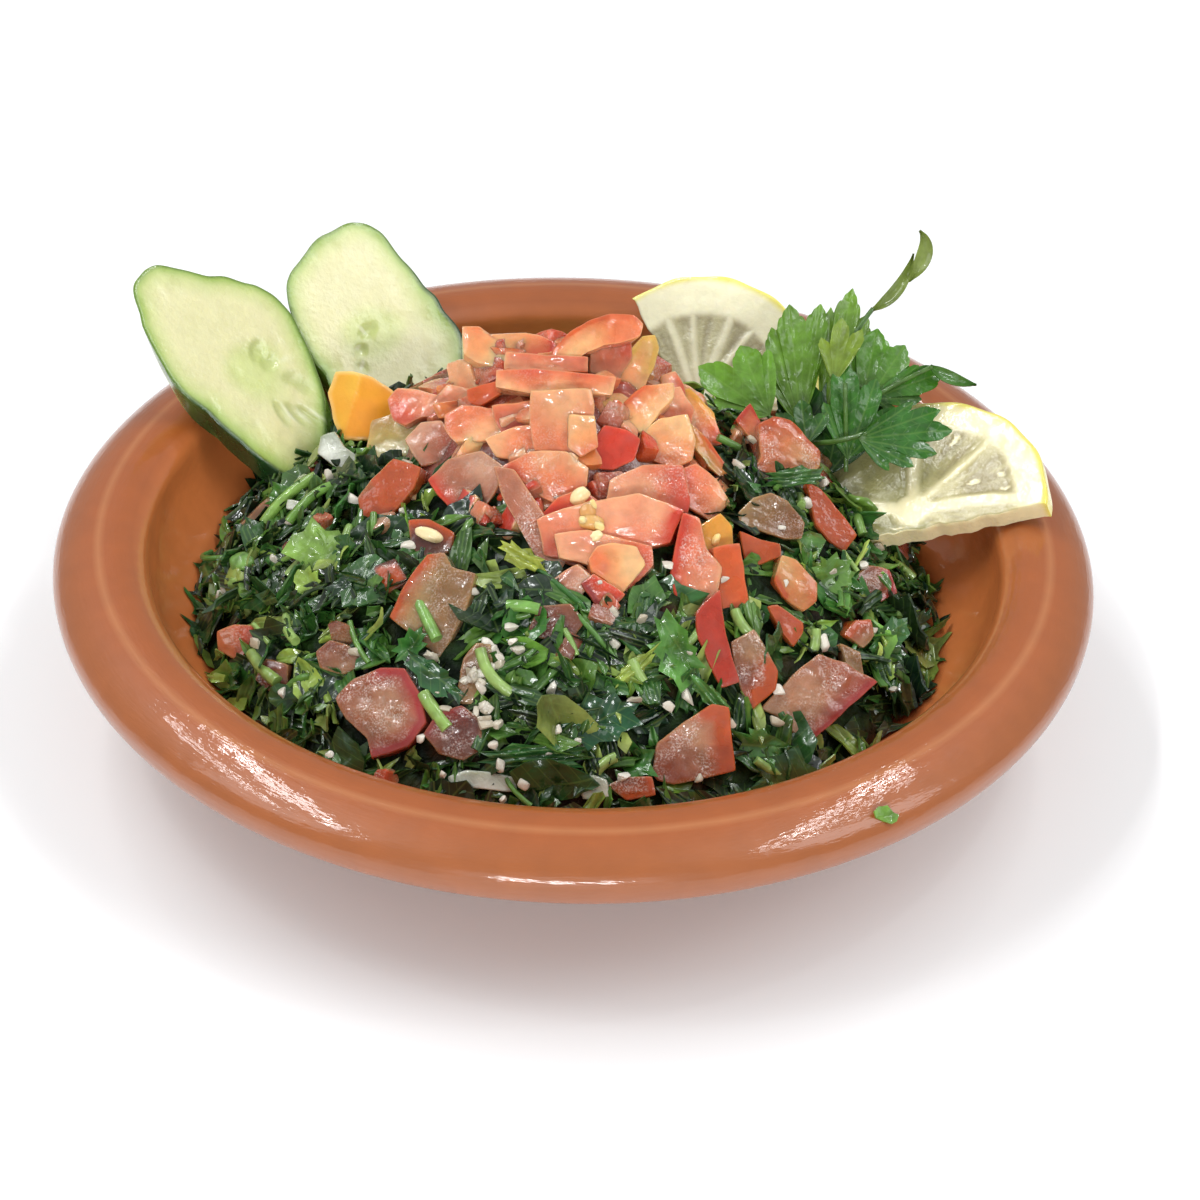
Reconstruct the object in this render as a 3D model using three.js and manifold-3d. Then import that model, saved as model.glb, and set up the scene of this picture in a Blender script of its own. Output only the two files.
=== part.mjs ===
// Tabbouleh in a glazed terracotta dish: a heap of chopped parsley with tomato and bulgur, a crown of diced
// tomato, two cucumber slices, two lemon slices, a piece of orange pepper and a sprig of parsley.
// Millimetres, +Z up. The origin is the centre of the dish's flat foot, and the viewer's side is -Y.
import * as THREE from "three";
import { mergeVertices } from "three/addons/utils/BufferGeometryUtils.js";
import Module from "manifold-3d";

// Dish, as radii and heights of its profile
const FOOT_RADIUS = 49;
const FOOT_EDGE = { r: 50, z: 3.7 };
const FLOOR = { r: 46, z: 8.5 };
const LIP = { r: 86, z: 32.5 };
const CREST = { r: 93, z: 37.5 };
const RIM_EDGE = { r: 105, z: 31.5 };
const WALL_BULGE = { r: 45.2, z: 29 };
const RIM_CHANNEL = [
  [91, 30],
  [96, 31],
  [98.5, 28.5],
];
const RIM_UNDERSIDE = { r: 101.5, z: 26.5 };
const DISH_SIDES = 42;

// Salad heap
const HEAP_RADIUS = 74;
const HEAP_EDGE_THICKNESS = 2.4;
const HEAP_PEAK_HEIGHT = 52;
const HEAP_ROUNDNESS = 2.2;
const SHOULDER = { x: 40, y: 12, rise: 6, spread: 10 };
const DISH_GAP = 1.1;
const FOOD_GAP = 0.35;

// Tomato crown: a main mound and a smaller one that has slid down the front
const CROWN = { x: -3, y: 12, halfWidth: 37, halfDepth: 33, base: 40, peak: 64.5 };
const CROWN_TONGUE = { x: 5, y: -22, halfWidth: 15, halfDepth: 15, base: 36, peak: 47.5 };
const CROWN_BOTTOM = 28;

// Cucumber, lemon and pepper
const CUCUMBER_THICKNESS = 5.5;
const CUCUMBER_SLANT = 5.5;
const CUCUMBER_SIDES = 32;
const LEMON_RADIUS = 28.5;
const LEMON_THICKNESS = 4.5;
const LEMON_SIDES = 26;
const PEPPER = { length: 15, height: 15, wall: 7, bow: 2 };

// Parsley sprig
const LEAF_THICKNESS = 0.9;
const SPRIG_STEM_RADIUS = 1.1;

// How far the sides of a chopped block are from its nominal size, as a share
const UNEVENNESS = 0.14;

const SEED = 71;

const wasm = await Module();
wasm.setup();
const { Manifold, Mesh: SolidMesh } = wasm;

const radians = THREE.MathUtils.degToRad;

// A repeatable stream of random numbers from 0 to 1
function randomStream(seed) {
  let state = seed >>> 0;
  return () => {
    state = (Math.imul(state, 1664525) + 1013904223) >>> 0;
    return state / 4294967296;
  };
}
const random = randomStream(SEED);
const between = (low, high) => low + (high - low) * random();

// Solids and geometries
function solidFrom(geometry) {
  const bare = geometry.clone();
  bare.deleteAttribute("normal");
  bare.deleteAttribute("uv");
  const merged = mergeVertices(bare, 1e-4);
  return new Manifold(
    new SolidMesh({
      numProp: 3,
      vertProperties: new Float32Array(merged.attributes.position.array),
      triVerts: new Uint32Array(merged.index.array),
    }),
  );
}

function geometryFrom(solid) {
  const mesh = solid.getMesh();
  const geometry = new THREE.BufferGeometry();
  geometry.setAttribute("position", new THREE.BufferAttribute(new Float32Array(mesh.vertProperties), 3));
  geometry.setIndex(new THREE.BufferAttribute(new Uint32Array(mesh.triVerts), 1));
  geometry.computeVertexNormals();
  return geometry;
}

// The largest body of a solid, without loose scraps and sealed hollows
function mainBody(solid) {
  return solid.decompose().reduce((best, body) => (body.volume() > best.volume() ? body : best));
}

const moved = (geometry, matrix) => geometry.clone().applyMatrix4(matrix);
const crosses = (solid, others) => others.some((other) => solid.intersect(other).volume() > 0);

// A closed thin body: front points, the same points moved back, and a wall round the border
function plate(front, back, triangles, border) {
  const count = front.length;
  const index = [];
  for (const [a, b, c] of triangles) index.push(a, b, c, count + a, count + c, count + b);
  border.forEach((a, i) => {
    const b = border[(i + 1) % border.length];
    index.push(a, count + a, count + b, a, count + b, b);
  });
  const geometry = new THREE.BufferGeometry().setFromPoints([...front, ...back]);
  geometry.setIndex(index);
  return geometry;
}

// Places a piece whose broad face looks along its own +Z. With no turn and no tilt it looks to the front. Tilt
// leans it back until it faces up at 90, turn swings it to the right, and spin turns it in its own plane.
function placement(x, y, z, { spin = 0, turn = 0, tilt = 40 }) {
  const turned = new THREE.Matrix4()
    .makeRotationZ(radians(turn))
    .multiply(new THREE.Matrix4().makeRotationX(radians(90 - tilt)))
    .multiply(new THREE.Matrix4().makeRotationZ(radians(spin)));
  return new THREE.Matrix4().makeTranslation(x, y, z).multiply(turned);
}

// Dish
const ellipsePoint = (centre, a, b, degrees) => [
  centre[0] + a * Math.sin(radians(degrees)),
  centre[1] - b * Math.cos(radians(degrees)),
];

function ellipseArc(centre, a, b, from, to, steps) {
  const points = [];
  for (let i = 0; i <= steps; i++) points.push(ellipsePoint(centre, a, b, from + ((to - from) * i) / steps));
  return points;
}

function dishProfile() {
  const wallCentre = [FLOOR.r, LIP.z];
  const outerWall = ellipseArc(wallCentre, WALL_BULGE.r, WALL_BULGE.z, 10, 82, 4);
  const underRim = [RIM_UNDERSIDE.r, RIM_EDGE.z];
  const edge = ellipseArc(underRim, RIM_EDGE.r - RIM_UNDERSIDE.r, RIM_EDGE.z - RIM_UNDERSIDE.z, 0, 90, 2);
  const dome = ellipseArc([CREST.r, RIM_EDGE.z], RIM_EDGE.r - CREST.r, CREST.z - RIM_EDGE.z, 90, 180, 4);
  const roundOver = ellipseArc([CREST.r, LIP.z], CREST.r - LIP.r, CREST.z - LIP.z, 180, 270, 2);
  const innerWall = ellipseArc(wallCentre, LIP.r - FLOOR.r, LIP.z - FLOOR.z, 90, 0, 6);
  const outline = [[0, 0], [FOOT_RADIUS, 0], [FOOT_EDGE.r, FOOT_EDGE.z], ...outerWall, ...RIM_CHANNEL];
  outline.push(...edge, ...dome.slice(1), ...roundOver.slice(1), ...innerWall.slice(1), [0, FLOOR.z]);
  return outline.map(([r, z]) => new THREE.Vector2(r, z));
}

function makeDish() {
  const geometry = new THREE.LatheGeometry(dishProfile(), DISH_SIDES);
  geometry.rotateX(Math.PI / 2);
  return geometryFrom(solidFrom(geometry));
}

function dishInside(radius) {
  const share = THREE.MathUtils.clamp((radius - FLOOR.r) / (LIP.r - FLOOR.r), 0, 1);
  return LIP.z - (LIP.z - FLOOR.z) * Math.sqrt(1 - share * share);
}

// Height of the salad and of the tomato crown over a point of the table
const heapRadius = (angle) => HEAP_RADIUS + 2.5 * Math.cos(angle - 2.6) + 1.2 * Math.cos(3 * angle + 0.6);
const heapShare = (x, y) => Math.min(1, Math.hypot(x, y) / heapRadius(Math.atan2(y, x)));
const relief = (x, y) =>
  0.7 * Math.sin(0.42 * x + 1.3) * Math.cos(0.47 * y) + 0.5 * Math.sin(0.9 * x - 0.7 * y);
const heapRelief = (x, y) => relief(x, y) * Math.min(1, 5 * (1 - heapShare(x, y)));

function heapHeight(x, y) {
  const edge = dishInside(heapRadius(Math.atan2(y, x))) + HEAP_EDGE_THICKNESS;
  const away = Math.hypot(x - SHOULDER.x, y - SHOULDER.y) / SHOULDER.spread;
  const shoulder = SHOULDER.rise * Math.exp((-away * away) / 2);
  return edge + (HEAP_PEAK_HEIGHT - edge) * (1 - heapShare(x, y) ** HEAP_ROUNDNESS) + shoulder;
}

function moundHeight(mound, x, y) {
  const share = Math.hypot((x - mound.x) / mound.halfWidth, (y - mound.y) / mound.halfDepth);
  return mound.base + (mound.peak - mound.base) * (1 - share ** HEAP_ROUNDNESS);
}

const crownHeight = (x, y) =>
  Math.max(moundHeight(CROWN, x, y), moundHeight(CROWN_TONGUE, x, y), heapHeight(x, y));
const underCrown = (x, y) => crownHeight(x, y) > heapHeight(x, y) + 1;

// A round mound from its outline, its top height and its bottom height, as rings of points
function mound({ centre, radiusAt, top, bottom, topRings, bottomRings, sides }) {
  const point = (share, side, height) => {
    const angle = (2 * Math.PI * side) / sides;
    const radius = share * radiusAt(angle);
    const x = centre.x + radius * Math.cos(angle);
    const y = centre.y + radius * Math.sin(angle);
    return new THREE.Vector3(x, y, height(x, y));
  };
  const points = [];
  const index = [];
  const surface = (height, rings, ascending) => {
    const start = points.length;
    points.push(point(0, 0, height));
    for (let ring = 1; ring <= rings; ring++) {
      for (let side = 0; side < sides; side++) points.push(point(ring / rings, side, height));
    }
    const at = (ring, side) => (ring === 0 ? start : start + 1 + (ring - 1) * sides + (side % sides));
    const face = (a, b, c) => index.push(...(ascending ? [a, b, c] : [a, c, b]));
    for (let side = 0; side < sides; side++) {
      face(at(0, 0), at(1, side), at(1, side + 1));
      for (let ring = 1; ring < rings; ring++) {
        face(at(ring, side), at(ring + 1, side), at(ring + 1, side + 1));
        face(at(ring, side), at(ring + 1, side + 1), at(ring, side + 1));
      }
    }
    return (side) => at(rings, side);
  };
  const upper = surface(top, topRings, true);
  const lower = surface(bottom, bottomRings, false);
  for (let side = 0; side < sides; side++) {
    index.push(upper(side), lower(side), lower(side + 1), upper(side), lower(side + 1), upper(side + 1));
  }
  const geometry = new THREE.BufferGeometry().setFromPoints(points);
  geometry.setIndex(index);
  return geometry;
}

// A chopped block with uneven corners
function block(length, width, thickness) {
  const uneven = (side) => (side * (1 + between(-UNEVENNESS, UNEVENNESS))) / 2;
  const corner = (sx, sy, sz) =>
    new THREE.Vector3(sx * uneven(length), sy * uneven(width), sz * uneven(thickness));
  const around = [
    [-1, -1],
    [1, -1],
    [1, 1],
    [-1, 1],
  ];
  const front = around.map(([sx, sy]) => corner(sx, sy, 1));
  const back = around.map(([sx, sy]) => corner(sx, sy, -1));
  return plate(front, back, [[0, 1, 2], [0, 2, 3]], [0, 1, 2, 3]);
}

// A torn leaf: a thin plate, pointed at both ends and bent over its middle
function flake(length, width) {
  const lift = between(-0.14, 0.2) * length;
  const side = () => between(-0.2, 0.2) * length;
  const front = [
    new THREE.Vector3(-length / 2, between(-0.2, 0.2) * width, 0),
    new THREE.Vector3(side(), -width / 2, 0),
    new THREE.Vector3(length / 2, between(-0.2, 0.2) * width, 0),
    new THREE.Vector3(side(), width / 2, 0),
    new THREE.Vector3(0, 0, lift),
  ];
  const back = front.map((p) => p.clone().add(new THREE.Vector3(0, 0, -LEAF_THICKNESS)));
  return plate(front, back, [[0, 1, 4], [1, 2, 4], [2, 3, 4], [3, 0, 4]], [0, 1, 2, 3]);
}

// A whole leaf: longer, with a crease along the middle
function creasedLeaf(length, width) {
  const bend = between(-0.16, 0.16) * length;
  const crease = between(-0.35, 0.35);
  const at = (u, v) => {
    const height = bend * Math.sin(Math.PI * u) + crease * Math.abs(v) * width;
    return new THREE.Vector3((u - 0.5) * length, v * width, height);
  };
  const wide = () => between(0.35, 0.6);
  const front = [at(0, between(-0.2, 0.2)), at(0.3, -wide()), at(0.7, -wide()), at(1, between(-0.2, 0.2))];
  front.push(at(0.7, wide()), at(0.3, wide()), at(0.33, 0), at(0.67, 0));
  const back = front.map((p) => p.clone().add(new THREE.Vector3(0, 0, -LEAF_THICKNESS)));
  const triangles = [[0, 1, 6], [0, 6, 5], [1, 2, 7], [1, 7, 6], [6, 7, 4], [6, 4, 5], [2, 3, 7], [7, 3, 4]];
  return plate(front, back, triangles, [0, 1, 2, 3, 4, 5]);
}

// A round bar with few sides along a bent path
function bar(from, over, to, radius, sides, steps) {
  const extrudePath = new THREE.QuadraticBezierCurve3(from, over, to);
  const outline = new THREE.Shape();
  for (let i = 0; i < sides; i++) {
    const angle = (2 * Math.PI * i) / sides;
    outline[i ? "lineTo" : "moveTo"](radius * Math.cos(angle), radius * Math.sin(angle));
  }
  return new THREE.ExtrudeGeometry(outline, { steps, extrudePath });
}

function stalk(length, radius) {
  const bend = between(-0.2, 0.2) * length;
  const from = new THREE.Vector3(-length / 2, 0, 0);
  const over = new THREE.Vector3(0, bend, Math.abs(bend) / 2);
  return bar(from, over, new THREE.Vector3(length / 2, 0, 0), radius, 4, 2);
}

function grain(length) {
  return new THREE.IcosahedronGeometry(length / 2, 0).scale(1, 0.75, 0.7);
}

// Tomato pieces of the crown that can be told apart: place on the crown and height of the middle above its
// surface, then length, width and thickness, then spin, turn and tilt of the broad face
const CROWN_PIECES = [
  { at: [3, 16, 3.5], size: [21, 8, 7], spin: 20, turn: 0, tilt: 55 },
  { at: [-14, 15, 1.5], size: [17, 8, 8], spin: 0, turn: 0, tilt: 60 },
  { at: [-22, 16, 5], size: [7, 5, 4], spin: 20, turn: 0, tilt: 50 },
  { at: [-7, 9, 1], size: [15, 7, 8], spin: 0, turn: 0, tilt: 45 },
  { at: [-4, 4, 1], size: [22, 7, 8], spin: -2, turn: 0, tilt: 45 },
  { at: [-18, 7, 1], size: [9, 8, 7], spin: 20, turn: -10, tilt: 50 },
  { at: [-25, 6, 0.5], size: [9, 6, 7], spin: 15, turn: -10, tilt: 50 },
  { at: [-14, 0, 0.5], size: [12, 8, 8], spin: 5, turn: 0, tilt: 45 },
  { at: [-3, -4, 1], size: [12, 12, 10], spin: 4, turn: 5, tilt: 35 },
  { at: [6, -5, 0], size: [13, 9, 10], spin: -10, turn: 15, tilt: 15 },
  { at: [10, 14, 1.5], size: [9, 15, 7], spin: -32, turn: 0, tilt: 45 },
  { at: [5, 14, 1], size: [10, 11, 8], spin: 5, turn: 0, tilt: 50 },
  { at: [18, 16, 3], size: [7, 13, 7], spin: 5, turn: 10, tilt: 50 },
  { at: [13, 3, 1.5], size: [14, 9, 9], spin: 28, turn: 10, tilt: 45 },
  { at: [16, -2, 1], size: [11, 10, 10], spin: 5, turn: 10, tilt: 35 },
  { at: [-20, -2, 1], size: [13, 9, 10], spin: 10, turn: -10, tilt: 45 },
  { at: [-11, -7, 1], size: [15, 8, 8], spin: 15, turn: 0, tilt: 40 },
  { at: [-21, -10, 1], size: [12, 15, 9], spin: 8, turn: -15, tilt: 40 },
  { at: [-6, -12, 1], size: [15, 11, 9], spin: -15, turn: 0, tilt: 45 },
  { at: [-1, -19, 1], size: [10, 8, 8], spin: 0, turn: 0, tilt: 35 },
  { at: [14, -15, 1], size: [15, 14, 9], spin: 5, turn: 5, tilt: 40 },
  { at: [24, -9, 1], size: [9, 12, 8], spin: -5, turn: 15, tilt: 40 },
  { at: [-9, -21, 1.5], size: [22, 7, 6], spin: -57, turn: 0, tilt: 50 },
  { at: [5, -30, 0.5], size: [19, 11, 8], spin: 0, turn: 0, tilt: 45 },
  { at: [-1, -33, 1], size: [9, 7, 7], spin: 15, turn: 0, tilt: 40 },
  { at: [5, -35, 1], size: [8, 8, 7], spin: 35, turn: 0, tilt: 40 },
  { at: [27, 6, 1.5], size: [14, 6, 5], spin: -65, turn: 20, tilt: 40 },
  { at: [27, -18, 1.5], size: [12, 15, 8], spin: -8, turn: 15, tilt: 40 },
  { at: [28, -30, 1.5], size: [12, 15, 7], spin: -5, turn: 10, tilt: 35 },
  { at: [-32, 13, 3], size: [12, 13, 9], spin: 0, turn: -20, tilt: 45 },
  { at: [-37, 14, 1], size: [12, 10, 8], spin: 15, turn: -20, tilt: 45 },
  { at: [-30, 2, 1], size: [10, 9, 8], spin: 15, turn: -15, tilt: 40 },
];
const CROWN_BACK_PIECES = 12;

// Tomato pieces on the salad, in the same terms
const SALAD_TOMATOES = [
  { at: [28, -41, 2.5], size: [7, 20, 7], spin: 4, turn: 5, tilt: 35 },
  { at: [43, -27, 2], size: [9, 17, 8], spin: -22, turn: 15, tilt: 35 },
  { at: [35, -43, 2], size: [10, 15, 9], spin: -12, turn: 10, tilt: 35 },
  { at: [48, -43, 3], size: [24, 13, 9], spin: 22, turn: 12, tilt: 40 },
  { at: [23, -59, 3], size: [15, 13, 9], spin: 6, turn: 5, tilt: 35 },
  { at: [-27, -38, 2.5], size: [14, 18, 7], spin: -22, turn: -10, tilt: 40 },
  { at: [-38, -6, 2.5], size: [8, 15, 9], spin: -38, turn: -15, tilt: 40 },
  { at: [-66, -24, 2], size: [9, 8, 8], spin: 12, turn: -20, tilt: 35 },
  { at: [-35, -55, 3], size: [18, 14, 10], spin: -18, turn: -10, tilt: 40 },
  { at: [-22, -61, 2], size: [11, 10, 9], spin: 8, turn: -5, tilt: 35 },
  { at: [36, 30, 2.5], size: [8, 9, 7], spin: 10, turn: 15, tilt: 45 },
  { at: [44, 22, 3], size: [13, 13, 8], spin: -25, turn: 15, tilt: 45 },
  { at: [52, 2, 2.5], size: [6, 15, 6], spin: 28, turn: 20, tilt: 40 },
  { at: [39, -13, 2], size: [13, 13, 8], spin: -10, turn: 15, tilt: 40 },
  { at: [-2, -42, 1], size: [11, 8, 7], spin: -5, turn: 0, tilt: 45 },
  { at: [-19, -50, 1], size: [6, 9, 6], spin: 10, turn: -5, tilt: 40 },
];
const BACK_TOMATOES = 12;

// Larger leaves on the salad, in the same terms
const SALAD_LEAVES = [
  { at: [-49, -19, 2], size: [16, 13], spin: -10, turn: -20, tilt: 45 },
  { at: [-41, -30, 2], size: [13, 8], spin: 20, turn: -15, tilt: 45 },
  { at: [21, -45, 3], size: [22, 11], spin: -72, turn: 5, tilt: 35 },
  { at: [37, -54, 3], size: [12, 9], spin: 20, turn: 10, tilt: 35 },
  { at: [42, 1, 3], size: [20, 7], spin: -8, turn: 20, tilt: 50 },
  { at: [10, -51, 2], size: [14, 5], spin: 40, turn: 0, tilt: 40 },
  { at: [-13, -34, 3], size: [12, 5], spin: -35, turn: 0, tilt: 50 },
  { at: [-50, 19, 2], size: [11, 8], spin: -20, turn: -30, tilt: 50 },
];
const FLAKES = 112;
const RIM_FLAKES = 34;
const STALKS = 12;
const GRAINS = 24;

// Heights tried in turn for a piece that would touch a neighbour, and how much larger it counts in that test
const LIFTS = [0, 1.2, 2.6];
const CLEARANCE = [1.06, 1.06, 1.15];
const GOLDEN_ANGLE = Math.PI * (3 - Math.sqrt(5));

// Evenly spread places over the salad outside the crown, from the middle outwards
function saladPlaces(count) {
  const places = [];
  for (let i = 0; places.length < count; i++) {
    const share = Math.sqrt(((i + 0.5) % count) / count) * 0.97;
    const angle = i * GOLDEN_ANGLE;
    const x = share * heapRadius(angle) * Math.cos(angle) + between(-1.5, 1.5);
    const y = share * heapRadius(angle) * Math.sin(angle) + between(-1.5, 1.5);
    if (!underCrown(x, y)) places.push([x, y]);
  }
  return places;
}

// The way a piece lying on the heap faces, with some disorder
function lying(x, y, disorder) {
  const slope = 24 + 30 * Math.min(1, Math.hypot(x, y) / HEAP_RADIUS);
  const outward = THREE.MathUtils.radToDeg(Math.atan2(x, -y));
  return {
    spin: between(0, 360),
    turn: outward + between(-disorder, disorder),
    tilt: 90 - slope + between(-disorder, disorder) / 1.5,
  };
}

function makeSaladCore() {
  return solidFrom(
    mound({
      centre: { x: 0, y: 0 },
      radiusAt: heapRadius,
      top: (x, y) => heapHeight(x, y) + heapRelief(x, y),
      bottom: (x, y) => dishInside(Math.hypot(x, y)) + DISH_GAP,
      topRings: 8,
      bottomRings: 4,
      sides: 36,
    }),
  );
}

function makeCrown(saladCore) {
  const bottom = () => CROWN_BOTTOM;
  const domes = [CROWN, CROWN_TONGUE].map((dome) =>
    solidFrom(
      mound({
        centre: dome,
        radiusAt: (angle) => {
          const across = Math.cos(angle) / dome.halfWidth;
          const along = Math.sin(angle) / dome.halfDepth;
          return 1 / Math.hypot(across, along);
        },
        top: (x, y) => moundHeight(dome, x, y) + relief(x, y),
        bottom,
        topRings: 3,
        bottomRings: 1,
        sides: 20,
      }),
    ),
  );
  const pieces = CROWN_PIECES.map(({ at: [x, y, lift], size, ...facing }) =>
    solidFrom(moved(block(...size), placement(x, y, crownHeight(x, y) + lift - 2, facing))),
  );
  for (let i = 0; i < CROWN_BACK_PIECES; i++) {
    const angle = radians(36 + (130 * (i + 0.5)) / CROWN_BACK_PIECES);
    const share = i % 2 ? 0.85 : 0.5;
    const x = CROWN.x + share * CROWN.halfWidth * Math.cos(angle);
    const y = CROWN.y + share * CROWN.halfDepth * Math.sin(angle);
    const size = [between(9, 14), between(8, 12), between(6, 9)];
    pieces.push(solidFrom(moved(block(...size), placement(x, y, crownHeight(x, y) - 1, lying(x, y, 20)))));
  }
  const whole = Manifold.union([...domes, ...pieces]);
  return mainBody(whole.subtract(saladCore.translate([0, 0, FOOD_GAP])));
}

// Salad pieces fused to their core. A piece is lifted where it would touch a neighbour, or else left out.
function makeSalad(saladCore, neighbours) {
  const kept = [];
  const add = (geometry, x, y, lift, facing) => {
    const swollen = geometry.clone().scale(...CLEARANCE);
    for (const raise of LIFTS) {
      const matrix = placement(x, y, heapHeight(x, y) + lift + raise, facing);
      if (crosses(solidFrom(moved(swollen, matrix)), neighbours)) continue;
      kept.push(solidFrom(moved(geometry, matrix)));
      return;
    }
  };
  for (const { at: [x, y, lift], size, ...facing } of SALAD_TOMATOES) {
    add(block(...size), x, y, lift - 1, facing);
  }
  for (const { at: [x, y, lift], size, ...facing } of SALAD_LEAVES) {
    add(creasedLeaf(...size), x, y, lift - 0.5, facing);
  }
  for (let i = 0; i < BACK_TOMATOES; i++) {
    const angle = radians(-8 + (196 * (i + 0.5)) / BACK_TOMATOES);
    const radius = HEAP_RADIUS * (i % 2 ? 0.9 : 0.68);
    const [x, y] = [radius * Math.cos(angle), radius * Math.sin(angle)];
    add(block(between(8, 15), between(8, 12), between(6, 9)), x, y, 0.5, lying(x, y, 25));
  }
  for (const [x, y] of saladPlaces(FLAKES)) {
    add(flake(between(7, 15), between(4, 9)), x, y, between(0.2, 1.6), lying(x, y, 38));
  }
  for (let i = 0; i < RIM_FLAKES; i++) {
    const angle = (2 * Math.PI * (i + between(0, 0.8))) / RIM_FLAKES;
    const radius = heapRadius(angle) + between(-3.5, 0.5);
    const [x, y] = [radius * Math.cos(angle), radius * Math.sin(angle)];
    add(flake(between(6, 12), between(4, 8)), x, y, between(0, 2), lying(x, y, 35));
  }
  for (const [x, y] of saladPlaces(STALKS)) {
    add(stalk(between(8, 20), between(0.8, 1.5)), x, y, between(0.4, 1.4), lying(x, y, 20));
  }
  for (const [x, y] of saladPlaces(GRAINS)) {
    add(grain(between(2, 2.8)), x, y, between(0.7, 1.3), lying(x, y, 20));
  }
  return mainBody(Manifold.union([saladCore, ...kept]));
}

// Cucumber slices, cut at a slant. The outline runs smoothly through a few points of the face, and the back of
// the slice lies a little further down the slope.
function slantedSlice(outlinePoints) {
  const curve = new THREE.CatmullRomCurve3(outlinePoints.map(([x, y]) => new THREE.Vector3(x, y, 0)), true);
  const points = curve.getPoints(CUCUMBER_SIDES).slice(0, -1);
  const outline = new THREE.Shape(points.map((p) => new THREE.Vector2(p.x, p.y)));
  const geometry = new THREE.ExtrudeGeometry(outline, { depth: CUCUMBER_THICKNESS, bevelEnabled: false });
  geometry.translate(0, 0, -CUCUMBER_THICKNESS);
  const shear = new THREE.Matrix4().makeShear(0, 0, 0, 0, 0, CUCUMBER_SLANT / CUCUMBER_THICKNESS);
  return geometry.applyMatrix4(shear);
}

const CUCUMBERS = {
  cucumber_left: {
    at: [-73, 42, 45.6],
    facing: { turn: 50, tilt: 45 },
    outline: [
      [18, 8],
      [13, 15],
      [5, 20],
      [-7, 27],
      [-14, 24],
      [-17, 4],
      [-13.5, -8],
      [-9, -20],
      [-3, -27.5],
      [7, -25],
      [14.5, -15],
    ],
  },
  cucumber_right: {
    at: [-46, 65.2, 41.8],
    facing: { turn: 29, tilt: 40 },
    outline: [
      [19, -8],
      [14.5, 6],
      [10, 15],
      [4, 24],
      [-7.5, 22.5],
      [-17.5, 14],
      [-18.5, 7],
      [-16, -6],
      [-11, -19],
      [0, -26],
      [12, -22],
    ],
  },
};

// Lemon slices: parts of a round slice between two directions in its own plane, cut straight from one end of
// the rind to the other, or in to a point near the middle
function lemonSlice({ from, to, corner }) {
  const outline = new THREE.Shape();
  for (let i = 0; i <= LEMON_SIDES; i++) {
    const angle = radians(from + ((to - from) * i) / LEMON_SIDES);
    outline[i ? "lineTo" : "moveTo"](LEMON_RADIUS * Math.cos(angle), LEMON_RADIUS * Math.sin(angle));
  }
  if (corner) outline.lineTo(...corner);
  const geometry = new THREE.ExtrudeGeometry(outline, { depth: LEMON_THICKNESS, bevelEnabled: false });
  return geometry.translate(0, 0, -LEMON_THICKNESS);
}

const LEMONS = {
  lemon_back: {
    at: [25.5, 64.2, 27],
    facing: { turn: -20, tilt: 40 },
    slice: { from: 5, to: 138, corner: [-1.5, -3] },
  },
  lemon_right: {
    at: [68.8, 9.8, 36],
    facing: { turn: -52, tilt: 62 },
    slice: { from: 38, to: 240 },
  },
};

// A chunk of pepper: a short bowed piece of the fruit's wall
const PEPPER_PLACE = { at: [-45, 27, 43.5], facing: { spin: -20, turn: 22, tilt: 32 } };

function pepperPiece() {
  const half = PEPPER.length / 2;
  const outline = new THREE.Shape();
  outline.moveTo(-half, 0);
  outline.quadraticCurveTo(0, 2 * PEPPER.bow, half, 0);
  outline.lineTo(half * 0.9, PEPPER.wall);
  outline.quadraticCurveTo(0, PEPPER.wall + 2 * PEPPER.bow, -half * 0.8, PEPPER.wall);
  outline.closePath();
  const options = { depth: PEPPER.height, bevelEnabled: false, curveSegments: 6 };
  const geometry = new THREE.ExtrudeGeometry(outline, options);
  geometry.translate(0, -PEPPER.wall, -PEPPER.height / 2);
  return geometry.rotateX(Math.PI / 2);
}

// Parsley sprig: leaflets with lobes, drawn round their own base. A lobe has a direction and a length.
const SPRIG_PLACE = { at: [48, 30, 42], facing: { turn: 0, tilt: 45 } };
const LEAFLETS = [
  { base: [-8, -1, 4.5], lobes: [[125, 20], [152, 18], [100, 17], [172, 12], [78, 11]] },
  { base: [-2, 0, 0], lobes: [[95, 29], [112, 25], [84, 28], [128, 15], [66, 14]] },
  { base: [4, 1, 2], lobes: [[80, 33], [64, 25], [95, 22], [48, 17], [112, 13]] },
  { base: [7, 0, 4], lobes: [[35, 26], [52, 22], [18, 23], [4, 15], [68, 15]] },
  { base: [5, -4, 12.5], lobes: [[8, 25], [-12, 23], [24, 19], [-30, 14], [40, 13]] },
];
const BLADES = [
  { from: [12, 26, 3], over: [21, 31, 4], to: [22, 43, 6], width: 4.5 },
  { from: [24, 12, 5], over: [29, 11, 4], to: [35, 10, 3], width: 3.5 },
];
const SPRIG_STEMS = [
  { from: [-12, -20, -1], over: [-3, -12, 4], to: [1, 2, 2] },
  { from: [-1, -3, 2], over: [-5, -4, 4], to: [-12, 4, 4] },
  { from: [0, -3, 2], over: [2, -6, 9], to: [11, -3, 11.8] },
  { from: [2, 0, 2], over: [6, 14, 1], to: [12.5, 27, 3] },
  { from: [7, 2, 4], over: [15, 8, 5], to: [26, 12, 5] },
];
const LOBE_HALF_ANGLE = 17;
const LEAFLET_MARGIN = 34;
const LEAFLET_STEPS = 16;
const BLADE_STEPS = 6;

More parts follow.
